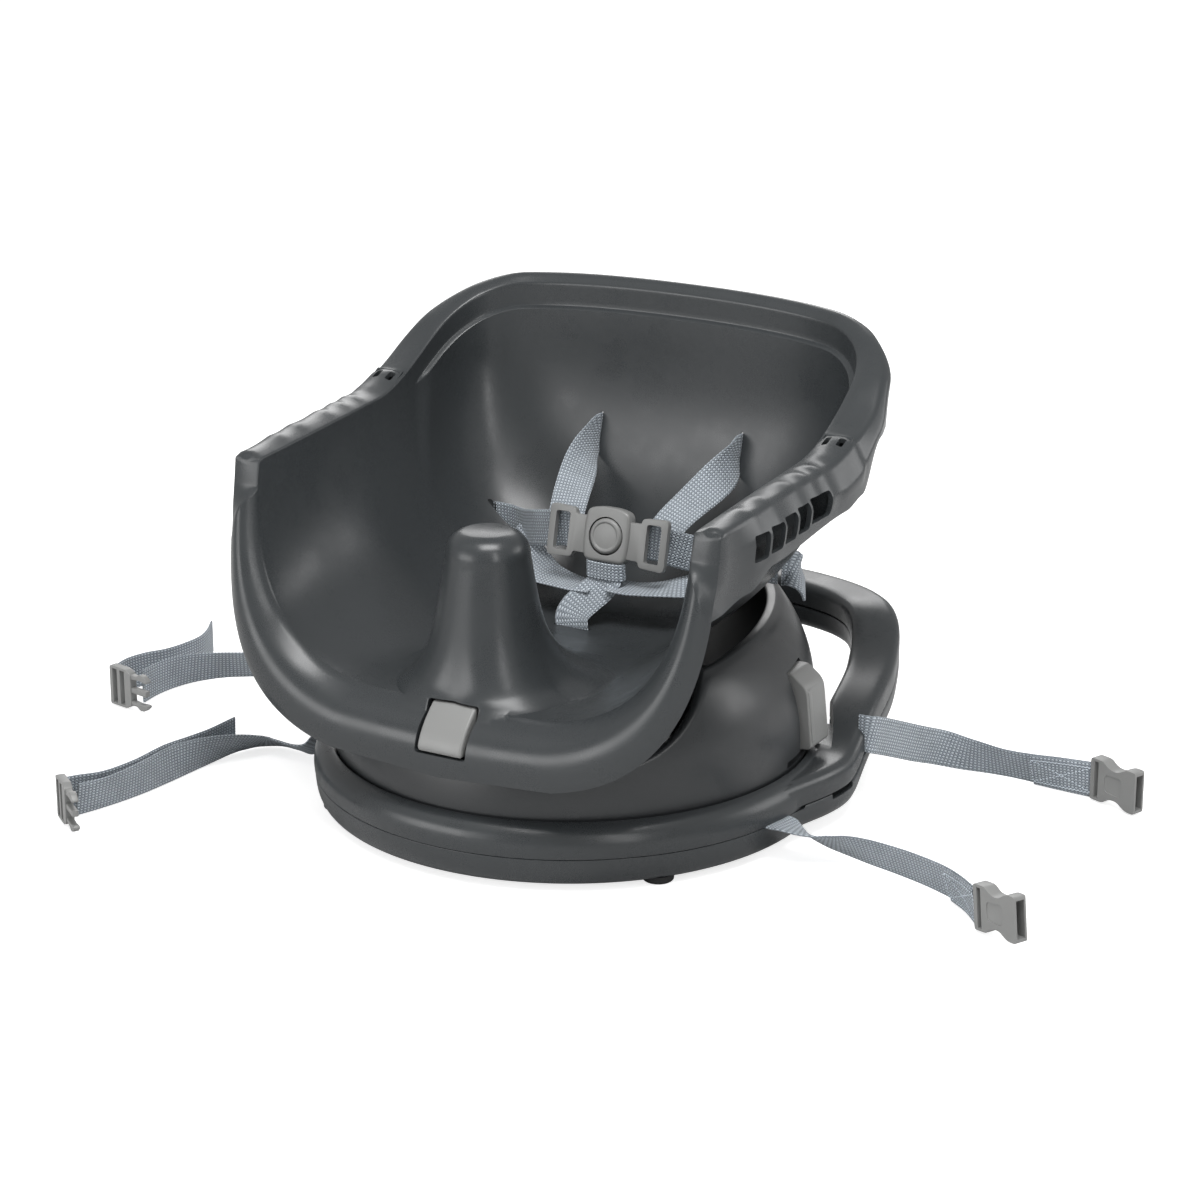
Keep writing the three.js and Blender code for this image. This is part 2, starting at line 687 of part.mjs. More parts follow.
// Seat bucket. A level is the inner surface's outline at one height: straight sides that flare to the
// front, then a rounded back.

function levelOutline(z) {
  const low = Math.max(0, (z - floorZ) / (armZ - floorZ));
  const w = Math.min(1, Math.max(0, (z - floorZ) / 147));
  const rise = Math.min(1, Math.max(0, (z - floorZ) / (backTopZ - floorZ)));
  const middle = floorHalfWidth + (wallHalfWidth - floorHalfWidth) * Math.pow(1 - Math.pow(1 - w, 1.8), 0.71);
  const atFront = 40 + (creaseHalfWidth - 40) * Math.pow(1 - Math.pow(1 - Math.min(1, low), 2.6), 0.4);
  const rear = floorRearY + (backTopY - floorRearY) * Math.pow(1 - Math.pow(1 - rise, 2.4), 0.7);
  const front = creaseY - creaseReach * Math.pow(Math.max(0, 1 - low), 0.8);
  const bend = Math.min(rear - 20, sideEndY * Math.pow(rise, 0.35));
  const power = 2.6 + Math.min(1, rise * 1.4);
  const halfWidthAt = (y) => middle + (atFront - middle) * smooth((-20 - y) / 118);
  const line = [];
  const sideSteps = 40;
  for (let i = 0; i < sideSteps; i++) {
    const y = front + ((bend - front) * i) / sideSteps;
    line.push([halfWidthAt(y), y]);
  }
  const backSteps = 90;
  for (let i = 0; i <= backSteps; i++) {
    const angle = (i / backSteps) * (Math.PI / 2);
    const x = middle * Math.pow(Math.cos(angle), 2 / power);
    line.push([x < 1e-6 ? 0 : x, bend + (rear - bend) * Math.pow(Math.sin(angle), 2 / power)]);
  }
  return line;
}

const halfColumns = 26;
const columnShares = Array.from({ length: halfColumns + 1 }, (_, j) => j / halfColumns);
const creaseLength = 395;

function creaseHeight(share) {
  const s = share * creaseLength;
  return armZ + 0.5 + 0.055 * s + 48 * smooth((s - 138) / 142);
}

const wallRows = 10;
const levelShares = Array.from({ length: wallRows + 1 }, (_, i) => Math.pow(i / wallRows, 1.35));

// Points of the inner surface: one column for each share along the outline, floor edge to crease
function wallColumn(share) {
  const top = share === 0 ? armZ : creaseHeight(share);
  return levelShares.map((level) => {
    const z = floorZ + (top - floorZ) * level;
    const [x, y] = respaced(levelOutline(z), [share])[0];
    return [x, y, z];
  });
}

// Stations along the rim, by length from the front of the armrest
const rimFoldOut = [[0, 18.5], [60, 20], [165, 23], [196, 23], [222, 19], [251, 13], [275, 9], [395, 8]];
const rimFoldUp = [[0, 0], [60, 1], [165, 0], [196, -2], [222, 2], [251, 5], [275, 6], [395, 6]];
const rimEdgeOut = [[0, 18.5], [60, 28], [165, 31], [196, 29.5], [222, 24], [251, 16.5], [275, 12.5],
  [395, 11.5]];
const rimEdgeDown = [[0, 15], [60, 14], [165, 15], [196, 9], [222, 5], [251, 2], [275, 1], [395, 1]];
const skirtZ = [[0, 189], [30, 196], [55, 208], [150, 217], [172, 222], [200, 252]];
const backSkirt = 17;

const rimRows = 3;
const skirtRows = 3;

function lipPoint(share) {
  const power = 3.2;
  const line = [];
  const steps = 120;
  for (let i = 0; i <= steps; i++) {
    const angle = (i / steps) * (Math.PI / 2);
    const x = lipHalfWidth * Math.pow(Math.sin(angle), 2 / power);
    const z = armZ - (armZ - lipBottomZ) * Math.pow(Math.cos(angle), 2 / power);
    const t = (armZ - z) / (armZ - lipBottomZ);
    line.push([x < 1e-6 ? 0 : x, lipTopY - lipReach * Math.pow(t, 1.25), z]);
  }
  return respaced(line, [share])[0];
}

function seatSurface() {
  const columns = columnShares.map(wallColumn);
  const crease = columns.map((column) => column[wallRows]);
  const frontLine = columns[0];
  const run = [0];
  for (let i = 1; i < frontLine.length; i++) {
    run.push(run[i - 1] + Math.hypot(...frontLine[i].map((v, k) => v - frontLine[i - 1][k])));
  }
  const spineRun = frontLine[0][0];
  const lipShareOf = (i) => (spineRun + run[i]) / (spineRun + run[run.length - 1]);
  const lip = frontLine.map((_, i) => lipPoint(lipShareOf(i)));
  const rims = columnShares.map((share, j) => {
    const s = share * creaseLength;
    const [x, y, z] = crease[j];
    const before = crease[Math.max(0, j - 1)];
    const after = j < halfColumns ? crease[j + 1] : [-crease[j - 1][0], crease[j - 1][1]];
    const along = new THREE.Vector2(after[0] - before[0], after[1] - before[1]).normalize();
    const out = j === 0 ? [1, 0] : [along.y, -along.x];
    const at = (distance, height) => [x + out[0] * distance, y + out[1] * distance, height];
    const fold = [between(rimFoldOut, s), z + between(rimFoldUp, s)];
    const edge = [between(rimEdgeOut, s), z + between(rimFoldUp, s) - between(rimEdgeDown, s)];
    const low = s < 222 ? Math.min(between(skirtZ, s), z - backSkirt) : z - backSkirt;
    const ring = [[x, y, z], at(Math.min(5, fold[0] * 0.3), z + 0.35 * between(rimFoldUp, s) + 1.2),
      at(fold[0] - 3.5, fold[1] + 0.8), at(...fold)];
    for (let k = 0; k < skirtRows; k++) {
      const t = k / (skirtRows - 1);
      ring.push(at(edge[0] - 1.5 * t, edge[1] + (low - edge[1]) * t));
    }
    return ring;
  });
  rims[0].forEach((point, k) => {
    if (k === rimRows) rims[0][k] = lip[wallRows];
    if (k > rimRows) rims[0][k] = lip[wallRows - (k - rimRows)];
  });
  const points = [];
  const faces = [];
  const addGrid = (rows, flip) => {
    const { points: p, faces: f } = skin(rows, false, false);
    const start = points.length;
    points.push(...p);
    faces.push(...f.map((face) => {
      const [a, b, c] = face.map((index) => index + start);
      return flip ? [a, c, b] : [a, b, c];
    }));
  };
  const floorRows = 3;
  for (const side of [1, -1]) {
    const own = (rows) => rows.map((row) => row.map(([px, py, pz]) => [side * px, py, pz]));
    const floor = Array.from({ length: floorRows + 1 }, (_, k) => columns.map((column) => {
      const [ex, ey, ez] = column[0];
      const spineY = Math.min(ey, floorRearY * 0.55);
      const t = k / floorRows;
      return [ex * t, spineY + (ey - spineY) * t, ez];
    }));
    addGrid(own(floor), side > 0);
    const wallGrid = Array.from({ length: wallRows + 1 }, (_, i) => columns.map((column) => column[i]));
    addGrid(own(wallGrid), side > 0);
    addGrid(own(rims[0].map((_, k) => rims.map((ring) => ring[k]))), side > 0);
    const frontPoints = [...floor.slice(0, -1).map((row) => row[0]), ...frontLine];
    const lipPoints = frontPoints.map((_, i) => {
      if (i >= floorRows) return lip[i - floorRows];
      return lipPoint((frontPoints[i][0] / spineRun) * lipShareOf(0));
    });
    const flange = Array.from({ length: rimRows + 1 }, (_, m) => frontPoints.map((point, i) => {
      if (i === frontPoints.length - 1) return rims[0][m];
      const t = m / rimRows;
      const target = lipPoints[i];
      const drop = (point[2] - target[2]) / (floorZ - lipBottomZ);
      const swell = Math.sin(Math.PI * t) * (1 + 7 * smooth(drop));
      return [point[0] + (target[0] - point[0]) * t, point[1] + (target[1] - point[1]) * t - swell,
        point[2] + (target[2] - point[2]) * t + swell * 0.5 * smooth(drop)];
    }));
    addGrid(own(flange), side > 0);
  }
  return { points, faces };
}

function crotchPost() {
  const rings = 7;
  const sides = 24;
  const sections = [];
  for (let i = 0; i <= rings; i++) {
    const t = i / rings;
    const z = floorZ - 1 + (postTopZ - 16 - floorZ) * t;
    const flare = 26 * Math.pow(1 - t, 5);
    const radius = postFootRadius + (postTopRadius - postFootRadius) * Math.pow(t, 0.9);
    sections.push([radius, flare, z]);
  }
  for (const angle of [25, 50, 70, 84]) {
    const a = THREE.MathUtils.degToRad(angle);
    sections.push([postTopRadius - 15 + 15 * Math.cos(a), 0, postTopZ - 16 + 16 * Math.sin(a)]);
  }
  const ringOf = (inset) => sections.map(([radius, flare, z], i) => {
    const drop = inset * (i / sections.length) + (inset && i === 0 ? 4 : 0);
    return Array.from({ length: sides }, (_, k) => {
      const angle = (k / sides) * 2 * Math.PI;
      const rearStretch = Math.max(0, Math.sin(angle)) * flare * 1.6;
      const frontStretch = Math.max(0, -Math.sin(angle)) * flare * 0.25;
      const sideStretch = Math.abs(Math.cos(angle)) * flare * 0.6;
      const r = radius - inset + (inset ? 0.75 : 1) * (rearStretch + frontStretch + sideStretch);
      return [r * Math.cos(angle), postY + r * Math.sin(angle), z - drop];
    });
  });
  return { outside: loft(ringOf(0)), inside: loft(ringOf(shell)) };
}

const buttonGap = 0.7;

function seatShell() {
  const { points, faces } = seatSurface();
  const bucket = walled(points, faces, shell);
  const post = crotchPost();
  const tools = [post.inside];
  const eachSide = [];
  const windowStart = -93;
  const windowPitch = 17;
  for (let i = 0; i < 4; i++) {
    const y = windowStart + windowPitch * i;
    const z = 231.5 + 1.4 * i;
    eachSide.push(block(170, 196, y, y + 14.8, z - 17, z));
  }
  const lastWindow = windowStart + windowPitch * 4;
  eachSide.push(block(170, 196, lastWindow, lastWindow + 24, 221, 237.5));
  for (const x of [163, 173]) eachSide.push(block(x - 2.2, x + 2.2, 34, 42.5, 244, 270));
  eachSide.push(block(shoulderSlotX - 1.8, shoulderSlotX + 1.8, 110, 160,
    shoulderSlotZ - 14, shoulderSlotZ + 14));
  eachSide.push(block(84, 140, waistSlotY - 2, waistSlotY + 2, waistSlotZ - 14, waistSlotZ + 14));
  for (const tool of eachSide) tools.push(tool, mirrorX(tool));
  tools.push(block(-14, 14, crotchSlotY - 2, crotchSlotY + 2, 90, 120));
  const openingHalf = buttonWidth / 2 + buttonGap;
  tools.push(block(-openingHalf, openingHalf, -190, -138, buttonZ[0] - buttonGap, buttonZ[1] + buttonGap));
  return cut(join(bucket, post.outside), ...tools);
}

add('seat_shell', seatShell(), grey);

// Seat carrier: a plate under the bucket with two ears on the pivot pin and a tunnel for the latch bar

const barZ = [pivotZ + 0.2, pivotZ + 4.8];
const barHalf = 7;
const barFront = -140 + gap;

function seatCarrier() {
  const w = columnWidth / 2;
  const deck = block(-w - 8, w + 8, columnY - 28, columnY + 26, carrierTop - 3, carrierTop);
  const neck = block(-20, 20, -118, columnY - 27, carrierTop - 3, carrierTop);
  const parts = [deck, neck];
  for (const side of [1, -1]) {
    const inner = block(w - 5.7 + gap, w - 1.7, columnY - 9, columnY + 9, pivotZ - 8, carrierTop - 2);
    const tunnel = block(barHalf + runningGap, barHalf + runningGap + 3, -112, columnY - 46,
      barZ[0] - 3, carrierTop - 2);
    parts.push(...[inner, tunnel].map((part) => (side > 0 ? part : mirrorX(part))));
  }
  for (const y of [-112, columnY - 60]) {
    parts.push(block(-barHalf - 2, barHalf + 2, y, y + 14, barZ[0] - 3, barZ[0] - runningGap));
  }
  const bore = rod([-60, columnY, pivotZ], [60, columnY, pivotZ], pivotRadius + pivotPlay, 24);
  const rackSlot = block(-rackX - 1, rackX + 1, columnY - 50, columnY - headHalfDepth + 4,
    carrierTop - 5, carrierTop + 1);
  return cut(join(...parts), bore, rackSlot);
}

add('seat_carrier', seatCarrier(), podGrey);

function latchBar() {
  const [pinY, pinZ] = beforePivot(latchPinAngle, latchPinReach);
  const web = columnY - rackWindow[1] - notchDepth - 3.5 - buttonTravel - 2;
  const bar = block(-barHalf, barHalf, barFront, web, ...barZ);
  const prong = block(rackX + 0.6, barHalf, web - 1, pinY + 3, ...barZ);
  const prongs = [prong, mirrorX(prong)];
  return join(bar, ...prongs, rod([-barHalf + 1, pinY, pinZ], [barHalf - 1, pinY, pinZ], latchPinRadius, 16));
}

add('recline_latch_bar', latchBar(), steel);

function reclineButton() {
  const [low, high] = buttonZ;
  const face = [[-140, high - 2], [-147.5, high], [-150, high - 1]];
  for (let i = 1; i <= 6; i++) {
    const t = i / 6;
    face.push([-150 - 9.5 * Math.pow(t, 0.8), high - 1 + (low + 2 - high) * t]);
  }
  face.push([-158.2, low], [-150, low], [-140, barZ[0] - 1]);
  return bevelled(face, -buttonWidth / 2, buttonWidth / 2, 2);
}

add('recline_button', reclineButton(), paleGrey);

// Harness webbing: a ribbon along a line of points, each with the way its width lies

function ribbon(stations, width = webWidth, thick = webThick, steps = 24) {
  const curve = (vectors) => new THREE.CatmullRomCurve3(
    vectors.map((v) => new THREE.Vector3(...v)), false, 'centripetal');
  const line = curve(stations.map(([place]) => place));
  const across = curve(stations.map(([, direction]) => direction));
  const sections = Array.from({ length: steps + 1 }, (_, i) => {
    const t = i / steps;
    const point = line.getPoint(t);
    const along = line.getTangent(t).normalize();
    const wide = across.getPoint(t);
    wide.addScaledVector(along, -wide.dot(along)).normalize();
    const face = new THREE.Vector3().crossVectors(along, wide).normalize();
    return [[1, 1], [-1, 1], [-1, -1], [1, -1]].map(([u, v]) => point.clone()
      .addScaledVector(wide, (u * width) / 2).addScaledVector(face, (v * thick) / 2).toArray());
  });
  return loft(sections);
}

const upright = [0, 0, 1];
const sideways = [1, 0, 0];
const [bx, by, bz] = buckleCentre;
const tongueReach = buckleSize / 2 + 18;

for (const [side, name] of [[1, 'right'], [-1, 'left']]) {
  const x = (value) => side * value;
  const slotY = 131.5;
  add(`shoulder_strap_${name}`, ribbon([
    [[x(shoulderSlotX), slotY, shoulderSlotZ], upright],
    [[x(shoulderSlotX), slotY - 14, shoulderSlotZ - 4], upright],
    [[x(50), 98, 204], [x(0.7), 0, 0.7]],
    [[x(46), 72, 186], [x(0.9), 0, 0.35]],
    [[x(42), 56, 172], [x(0.5), 0.2, 0.8]],
  ]), webGrey);
  add(`waist_strap_${name}`, ribbon([
    [[x(87.4), waistSlotY - 5.6, waistSlotZ + 1], upright],
    [[x(77), 71, waistSlotZ + 3], upright],
    [[x(63), 60, waistSlotZ + 8], upright],
    [[x(tongueReach + 9), by + 7, bz - 3], upright],
  ], webWidth, webThick, 12), webGrey);
  add(`waist_strap_tail_${name}`, ribbon([
    [[x(112), waistSlotY + 3.8, waistSlotZ], upright],
    [[x(115), waistSlotY + 6, waistSlotZ - 1], upright],
    [[x(118.5), waistSlotY + 10, waistSlotZ - 4], upright],
    [[x(121), waistSlotY + 16, waistSlotZ - 8], upright],
  ], webWidth, 3, 8), webGrey);
  const frame = cut(block(buckleSize / 2 + gap, tongueReach + 6, by - 3, by + 1, bz - 18, bz + 17),
    block(tongueReach - 11, tongueReach - 7, by - 6, by + 6, bz - 13.5, bz + 13.5),
    block(tongueReach - 3, tongueReach + 1, by - 6, by + 6, bz - 13.5, bz + 13.5));
  add(`harness_tongue_${name}`, side > 0 ? frame : mirrorX(frame), paleGrey);
}

add('crotch_strap', ribbon([
  [[0, crotchSlotY, floorZ + 0.8], sideways],
  [[0, crotchSlotY - 3, floorZ + 8], sideways],
  [[0, crotchSlotY + 3, floorZ + 18], sideways],
  [[0, by - 8, bz - 36], sideways],
  [[0, by - 2, bz - buckleSize / 2 - 1.2], sideways],
], webWidth, webThick, 16), webGrey);

function harnessBuckle() {
  const half = buckleSize / 2;
  const corner = 5;
  const shape = new THREE.Shape();
  shape.moveTo(-half + corner, -half);
  shape.lineTo(half - corner, -half);
  shape.quadraticCurveTo(half, -half, half, -half + corner);
  shape.lineTo(half, half - corner);
  shape.quadraticCurveTo(half, half, half - corner, half);
  shape.lineTo(-half + corner, half);
  shape.quadraticCurveTo(-half, half, -half, half - corner);
  shape.lineTo(-half, -half + corner);
  shape.quadraticCurveTo(-half, -half, -half + corner, -half);
  const body = new THREE.ExtrudeGeometry(shape, {
    depth: 9, bevelEnabled: true, bevelSize: 2, bevelThickness: 2, bevelOffset: -2,
    bevelSegments: 2, curveSegments: 4,
  });
  body.rotateX(Math.PI / 2).translate(bx, by + 5, bz);
  return cut(body, rod([bx, by - 20, bz], [bx, by + 1 + buckleTravel + 0.5, bz], 12.5, 32));
}

function harnessButton() {
  const profile = [[0, 0], [11.9, 0], [11.9, 5.4], [10.6, 6.8], [9.2, 6.8], [8.6, 6.2], [0, 7.4]];
  return turned(profile, 32).rotateX(Math.PI / 2).translate(bx, by + 1 - gap, bz);
}

add('harness_buckle', harnessBuckle(), paleGrey);
add('harness_button', harnessButton(), paleGrey);

// Chair straps lie on edge on the floor, from the base to their clips

const clipHalf = 14.6;
const clipThick = 9;
const clipRise = 16;

// Outline of a clip in its own plane: length along it, then height, mirrored below
function clipPlate(upper, thick) {
  const outline = [...upper, ...upper.map(([x, z]) => [x, -z]).reverse()];
  const shape = new THREE.Shape(outline.map(([x, z]) => new THREE.Vector2(x, z)));
  const body = new THREE.ExtrudeGeometry(shape, { depth: thick, bevelEnabled: false });
  return outwards(bare(body.translate(0, 0, -thick / 2).rotateX(Math.PI / 2)));
}

// Waisted socket with a slot for the webbing and an open mouth
function socketClip() {
  const upper = [[0, clipHalf - 1], [1, clipHalf], [11, clipHalf], [15, 11.5], [19, 10.2], [24, 10.4],
    [28, 13], [32, clipHalf], [38, clipHalf], [39, clipHalf - 1]];
  const webSlot = block(3.4, 7, -clipThick, clipThick, -webWidth / 2 - 0.3, webWidth / 2 + 0.3);
  const mouth = block(17, 40, -3, 3, -8.6, 8.6);
  const wideMouth = block(29, 40, -3, 3, -clipHalf + 2.6, clipHalf - 2.6);
  return cut(clipPlate(upper, clipThick), webSlot, mouth, wideMouth);
}

// Frame with a slot for the webbing and three prongs, the outer two hooked
function prongClip() {
  const frame = clipPlate([[0, clipHalf - 1], [1, clipHalf], [17, clipHalf], [22, 12]], 6);
  const webSlots = [3.2, 11].map((x) => block(x, x + 4.6, -clipThick, clipThick,
    -webWidth / 2 - 0.3, webWidth / 2 + 0.3));
  const hooks = [1, -1].map((side) => {
    const outline = [[20, 8], [20, 11.8], [27, 11.2], [31, 13.6], [35, 13], [39, 9.5], [38, 8], [30, 9]];
    const shape = new THREE.Shape(outline.map(([x, z]) => new THREE.Vector2(x, side * z)));
    const hook = new THREE.ExtrudeGeometry(shape, { depth: 4.4, bevelEnabled: false });
    return outwards(bare(hook.translate(0, 0, -2.2).rotateX(Math.PI / 2)));
  });
  return cut(join(frame, ...hooks, block(20, 37, -2.2, 2.2, -2, 2)), ...webSlots);
}

// A clip set down at the end of its strap, with its far end raised by a number of degrees
function clipAt([x, y], direction, kind, raised) {
  const part = kind === 'socket' ? socketClip() : prongClip();
  part.rotateY(-THREE.MathUtils.degToRad(raised));
  return part.rotateZ(Math.atan2(direction[1], direction[0])).translate(x, y, clipRise);
}

const chairStraps = {
  front_right: {
    route: [
      [[165, -30.3, 23], [-0.18, -0.98, 0]], [[171, -31, 22.9], [-0.15, -0.99, 0.02]],
      [[178, -32, 22.2], [-0.05, -0.98, 0.15]], [[187, -30.5, 19], [0.3, -0.9, 0.32]],
      [[197, -26, 15.4], [0.35, -0.75, 0.55]], [[209, -22.5, 13], [0.15, -0.64, 0.75]],
      [[227, -24, 12.8], [-0.1, -0.46, 0.88]], [[248, -28, 12.8], [-0.12, -0.37, 0.91]],
      [[270, -34.5, 12.9], [-0.14, -0.31, 0.94]], [[292, -44, 13], [-0.16, -0.24, 0.96]],
      [[307, -55, 13.2], [-0.17, -0.16, 0.98]], [[321, -69, 13.4], [-0.1, -0.09, 0.99]],
    ],
    clip: { kind: 'socket', at: [322.6, -70.6], heading: [0.88, -0.475], raised: 7 },
  },
  rear_right: {
    route: [
      [[173, 77, 49], upright], [[179.6, 77.4, 48.8], upright],
      [[182.6, 82.5, 46.8], [0.04, 0.12, 0.99]], [[184.2, 93, 42.5], [0.1, 0.3, 0.95]],
      [[187, 107, 36.5], [0.12, 0.35, 0.93]],
      [[193, 130, 26.5], [0.15, 0.33, 0.93]], [[201, 149, 18.8], [0.2, 0.2, 0.95]],
      [[213, 157, 14.6], [0.18, -0.05, 0.98]], [[228, 159.5, 13.2], [0.05, -0.26, 0.96]],
      [[245, 159, 12.8], [0, -0.38, 0.92]], [[264, 158.5, 12.9], [-0.02, -0.34, 0.94]],
      [[284, 158.5, 13.2], [-0.02, -0.2, 0.98]], [[306, 158.5, 13.4], [0, -0.07, 1]],
    ],
    clip: { kind: 'socket', at: [307.6, 158.4], heading: [0.93, -0.37], raised: 0 },
  },
  front_left: {
    route: [
      [[-165, -30.3, 23], [0.18, -0.98, 0]], [[-171, -31.5, 22.4], [0.1, -0.99, 0.04]],
      [[-176, -36, 17.8], [0, -0.98, 0.18]], [[-180.5, -40.5, 10.8], [-0.05, -0.93, 0.36]],
      [[-187.5, -42, 7.8], [-0.11, -0.85, 0.52]], [[-200.5, -40.6, 7.8], [-0.1, -0.85, 0.52]],
      [[-212.5, -40.2, 8], [0.15, -0.83, 0.53]], [[-220, -45, 8.3], [0.55, -0.6, 0.56]],
      [[-223.8, -51.5, 9], [0.72, -0.3, 0.62]], [[-227.6, -61, 10.4], [0.68, -0.14, 0.72]],
      [[-233.7, -80, 12], [0.42, -0.04, 0.91]], [[-238.6, -99, 12.9], [0.15, 0, 0.99]],
      [[-242.2, -117, 13], [-0.03, 0, 1]], [[-244.4, -151, 13], [0.14, -0.03, 0.99]],
      [[-249.9, -181, 13], [0.26, -0.07, 0.96]], [[-257, -200, 13.2], [0.22, -0.06, 0.97]],
    ],
    tail: [
      [[-270.3, -199.5, 13.4], [0.05, 0, 1]], [[-266, -190, 13.4], [0.15, 0, 0.99]],
      [[-258, -175, 13.2], [0.26, -0.05, 0.96]], [[-250.5, -151, 13.2], [0.15, 0, 0.99]],
      [[-247.4, -118, 13.2], [0, 0, 1]], [[-244, -98, 13.2], [0.1, 0, 0.99]],
      [[-241, -80, 13.2], [0.15, 0, 0.99]], [[-239.5, -66, 13.2], [0.12, 0, 0.99]],
      [[-237.5, -52, 13.4], [0.05, 0, 1]],
    ],
    clip: { kind: 'prong', at: [-268, -203], heading: [0.8, -0.6], raised: 0 },
  },
  rear_left: {
    route: [
      [[-173, 77, 49], [0, 0, 1]], [[-178.5, 78, 48.6], [-0.02, 0.08, 0.99]],
      [[-190, 84, 44], [-0.15, 0.2, 0.97]], [[-206, 92, 36], [-0.3, 0.15, 0.94]],
      [[-224, 97, 27], [-0.35, -0.02, 0.93]], [[-242, 97, 19.8], [-0.22, -0.2, 0.95]],
      [[-262, 92, 14.6], [-0.03, -0.34, 0.94]], [[-286, 82, 13], [0.13, -0.4, 0.9]],
      [[-309, 69, 12.9], [0.23, -0.38, 0.9]], [[-327, 57, 13], [0.26, -0.3, 0.92]],
      [[-340, 43, 13.1], [0.22, -0.14, 0.96]], [[-347, 28, 13.2], [0.13, -0.04, 0.99]],
      [[-350, 10, 13.4], [0.03, -0.01, 1]], [[-349, -8, 13.4], [0, 0, 1]],
    ],
    tail: [
      [[-371, -16, 13.4], upright], [[-373, -6, 13.4], upright], [[-374, 8, 13.4], upright],
      [[-370, 23, 13.4], upright], [[-362, 37, 13.4], upright], [[-358, 53, 13.4], upright],
      [[-357, 72, 13.4], upright], [[-362, 88, 13.4], upright], [[-370, 104, 13.6], upright],
    ],
    clip: { kind: 'prong', at: [-368, -18], heading: [0.98, -0.2], raised: 0 },
  },
};

for (const [name, { route, tail, clip }] of Object.entries(chairStraps)) {
  add(`chair_strap_${name}`, ribbon(route, webWidth, webThick, 30), webGrey);
  if (tail) add(`chair_strap_tail_${name}`, ribbon(tail, webWidth, webThick, 16), webGrey);
  add(`strap_clip_${name}`, clipAt(clip.at, clip.heading, clip.kind, clip.raised), paleGrey);
}

// The origin is the middle of the footprint, on the floor, with the free chair straps left out
const box = new THREE.Box3();
for (const mesh of object.children) {
  if (!/chair_strap|strap_clip/.test(mesh.name)) box.expandByObject(mesh);
}
object.position.y = -(box.min.y + box.max.y) / 2;

export default model;
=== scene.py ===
"""Booster seat for a dining chair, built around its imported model.

Lengths in the tables are millimetres in the part's own frame: the floor is z = 0, the swivel axis is
x = y = 0, and the child faces -y. at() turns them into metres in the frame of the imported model.
"""
import json
import math

import bmesh
import bpy
from bpy.props import FloatProperty, FloatVectorProperty, PointerProperty
from mathutils import Matrix, Vector


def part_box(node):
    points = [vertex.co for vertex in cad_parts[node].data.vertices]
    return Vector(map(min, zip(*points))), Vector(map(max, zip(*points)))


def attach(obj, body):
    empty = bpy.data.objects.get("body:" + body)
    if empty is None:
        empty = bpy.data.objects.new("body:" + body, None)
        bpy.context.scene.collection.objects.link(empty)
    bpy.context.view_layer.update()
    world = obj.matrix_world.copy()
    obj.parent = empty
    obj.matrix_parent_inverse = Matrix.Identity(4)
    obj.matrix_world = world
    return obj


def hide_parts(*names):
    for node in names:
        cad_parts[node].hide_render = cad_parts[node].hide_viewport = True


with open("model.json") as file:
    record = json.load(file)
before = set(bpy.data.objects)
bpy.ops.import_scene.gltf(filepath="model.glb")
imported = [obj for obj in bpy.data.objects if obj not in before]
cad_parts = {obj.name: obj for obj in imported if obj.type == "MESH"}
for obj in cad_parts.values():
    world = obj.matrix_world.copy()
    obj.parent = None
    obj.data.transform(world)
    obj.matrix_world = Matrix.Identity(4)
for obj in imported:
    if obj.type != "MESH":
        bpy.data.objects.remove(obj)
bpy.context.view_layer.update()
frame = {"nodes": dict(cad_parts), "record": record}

bl_info = {
    "name": "Chair booster seat",
    "version": (1, 0, 0),
    "blender": (4, 5, 0),
    "location": "3D View > Sidebar > Booster",
    "description": "Builds a swivelling, reclining booster seat around its packed model",
    "category": "Object",
}

MM = 0.001
BASE_RADIUS = 171.0
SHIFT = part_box("base_ring")[0].y + BASE_RADIUS * MM
WELD, SEAM_WELD = 1e-6, 2e-6  # metres within which points become one
SIDES = ((1, "right"), (-1, "left"))  # as seen by someone who faces the seat
UP = (0, 0, 1)


def at(x, y, z):
    """A point of the part's own frame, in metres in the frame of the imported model."""
    return Vector((x * MM, y * MM + SHIFT, z * MM))


# Numbers and lines

def clamp(t):
    return min(1.0, max(0.0, t))


def smooth(t):
    u = clamp(t)
    return u * u * (3 - 2 * u)


def between(stations, place):
    """A value that runs smoothly through stations of (place, value)."""
    if place <= stations[0][0]:
        return stations[0][1]
    for (x0, y0), (x1, y1) in zip(stations, stations[1:]):
        if place <= x1:
            return y0 + (y1 - y0) * smooth((place - x0) / (x1 - x0))
    return stations[-1][1]


def mix(a, b, t):
    return [p + (q - p) * t for p, q in zip(a, b)]


def respaced(line, shares):
    """Points at given shares of the length of a line; numbers after the third ride along."""
    run = [0.0]
    for a, b in zip(line, line[1:]):
        run.append(run[-1] + math.dist(a[:3], b[:3]))
    points, i = [], 1
    for share in shares:
        place = share * run[-1]
        if place < run[i - 1]:
            i = 1
        while i < len(run) - 1 and run[i] < place:
            i += 1
        span = run[i] - run[i - 1]
        t = (place - run[i - 1]) / span if span else 0
        points.append(mix(line[i - 1], line[i], clamp(t)))
    return points


def length_of(line):
    return sum(math.dist(a[:3], b[:3]) for a, b in zip(line, line[1:]))


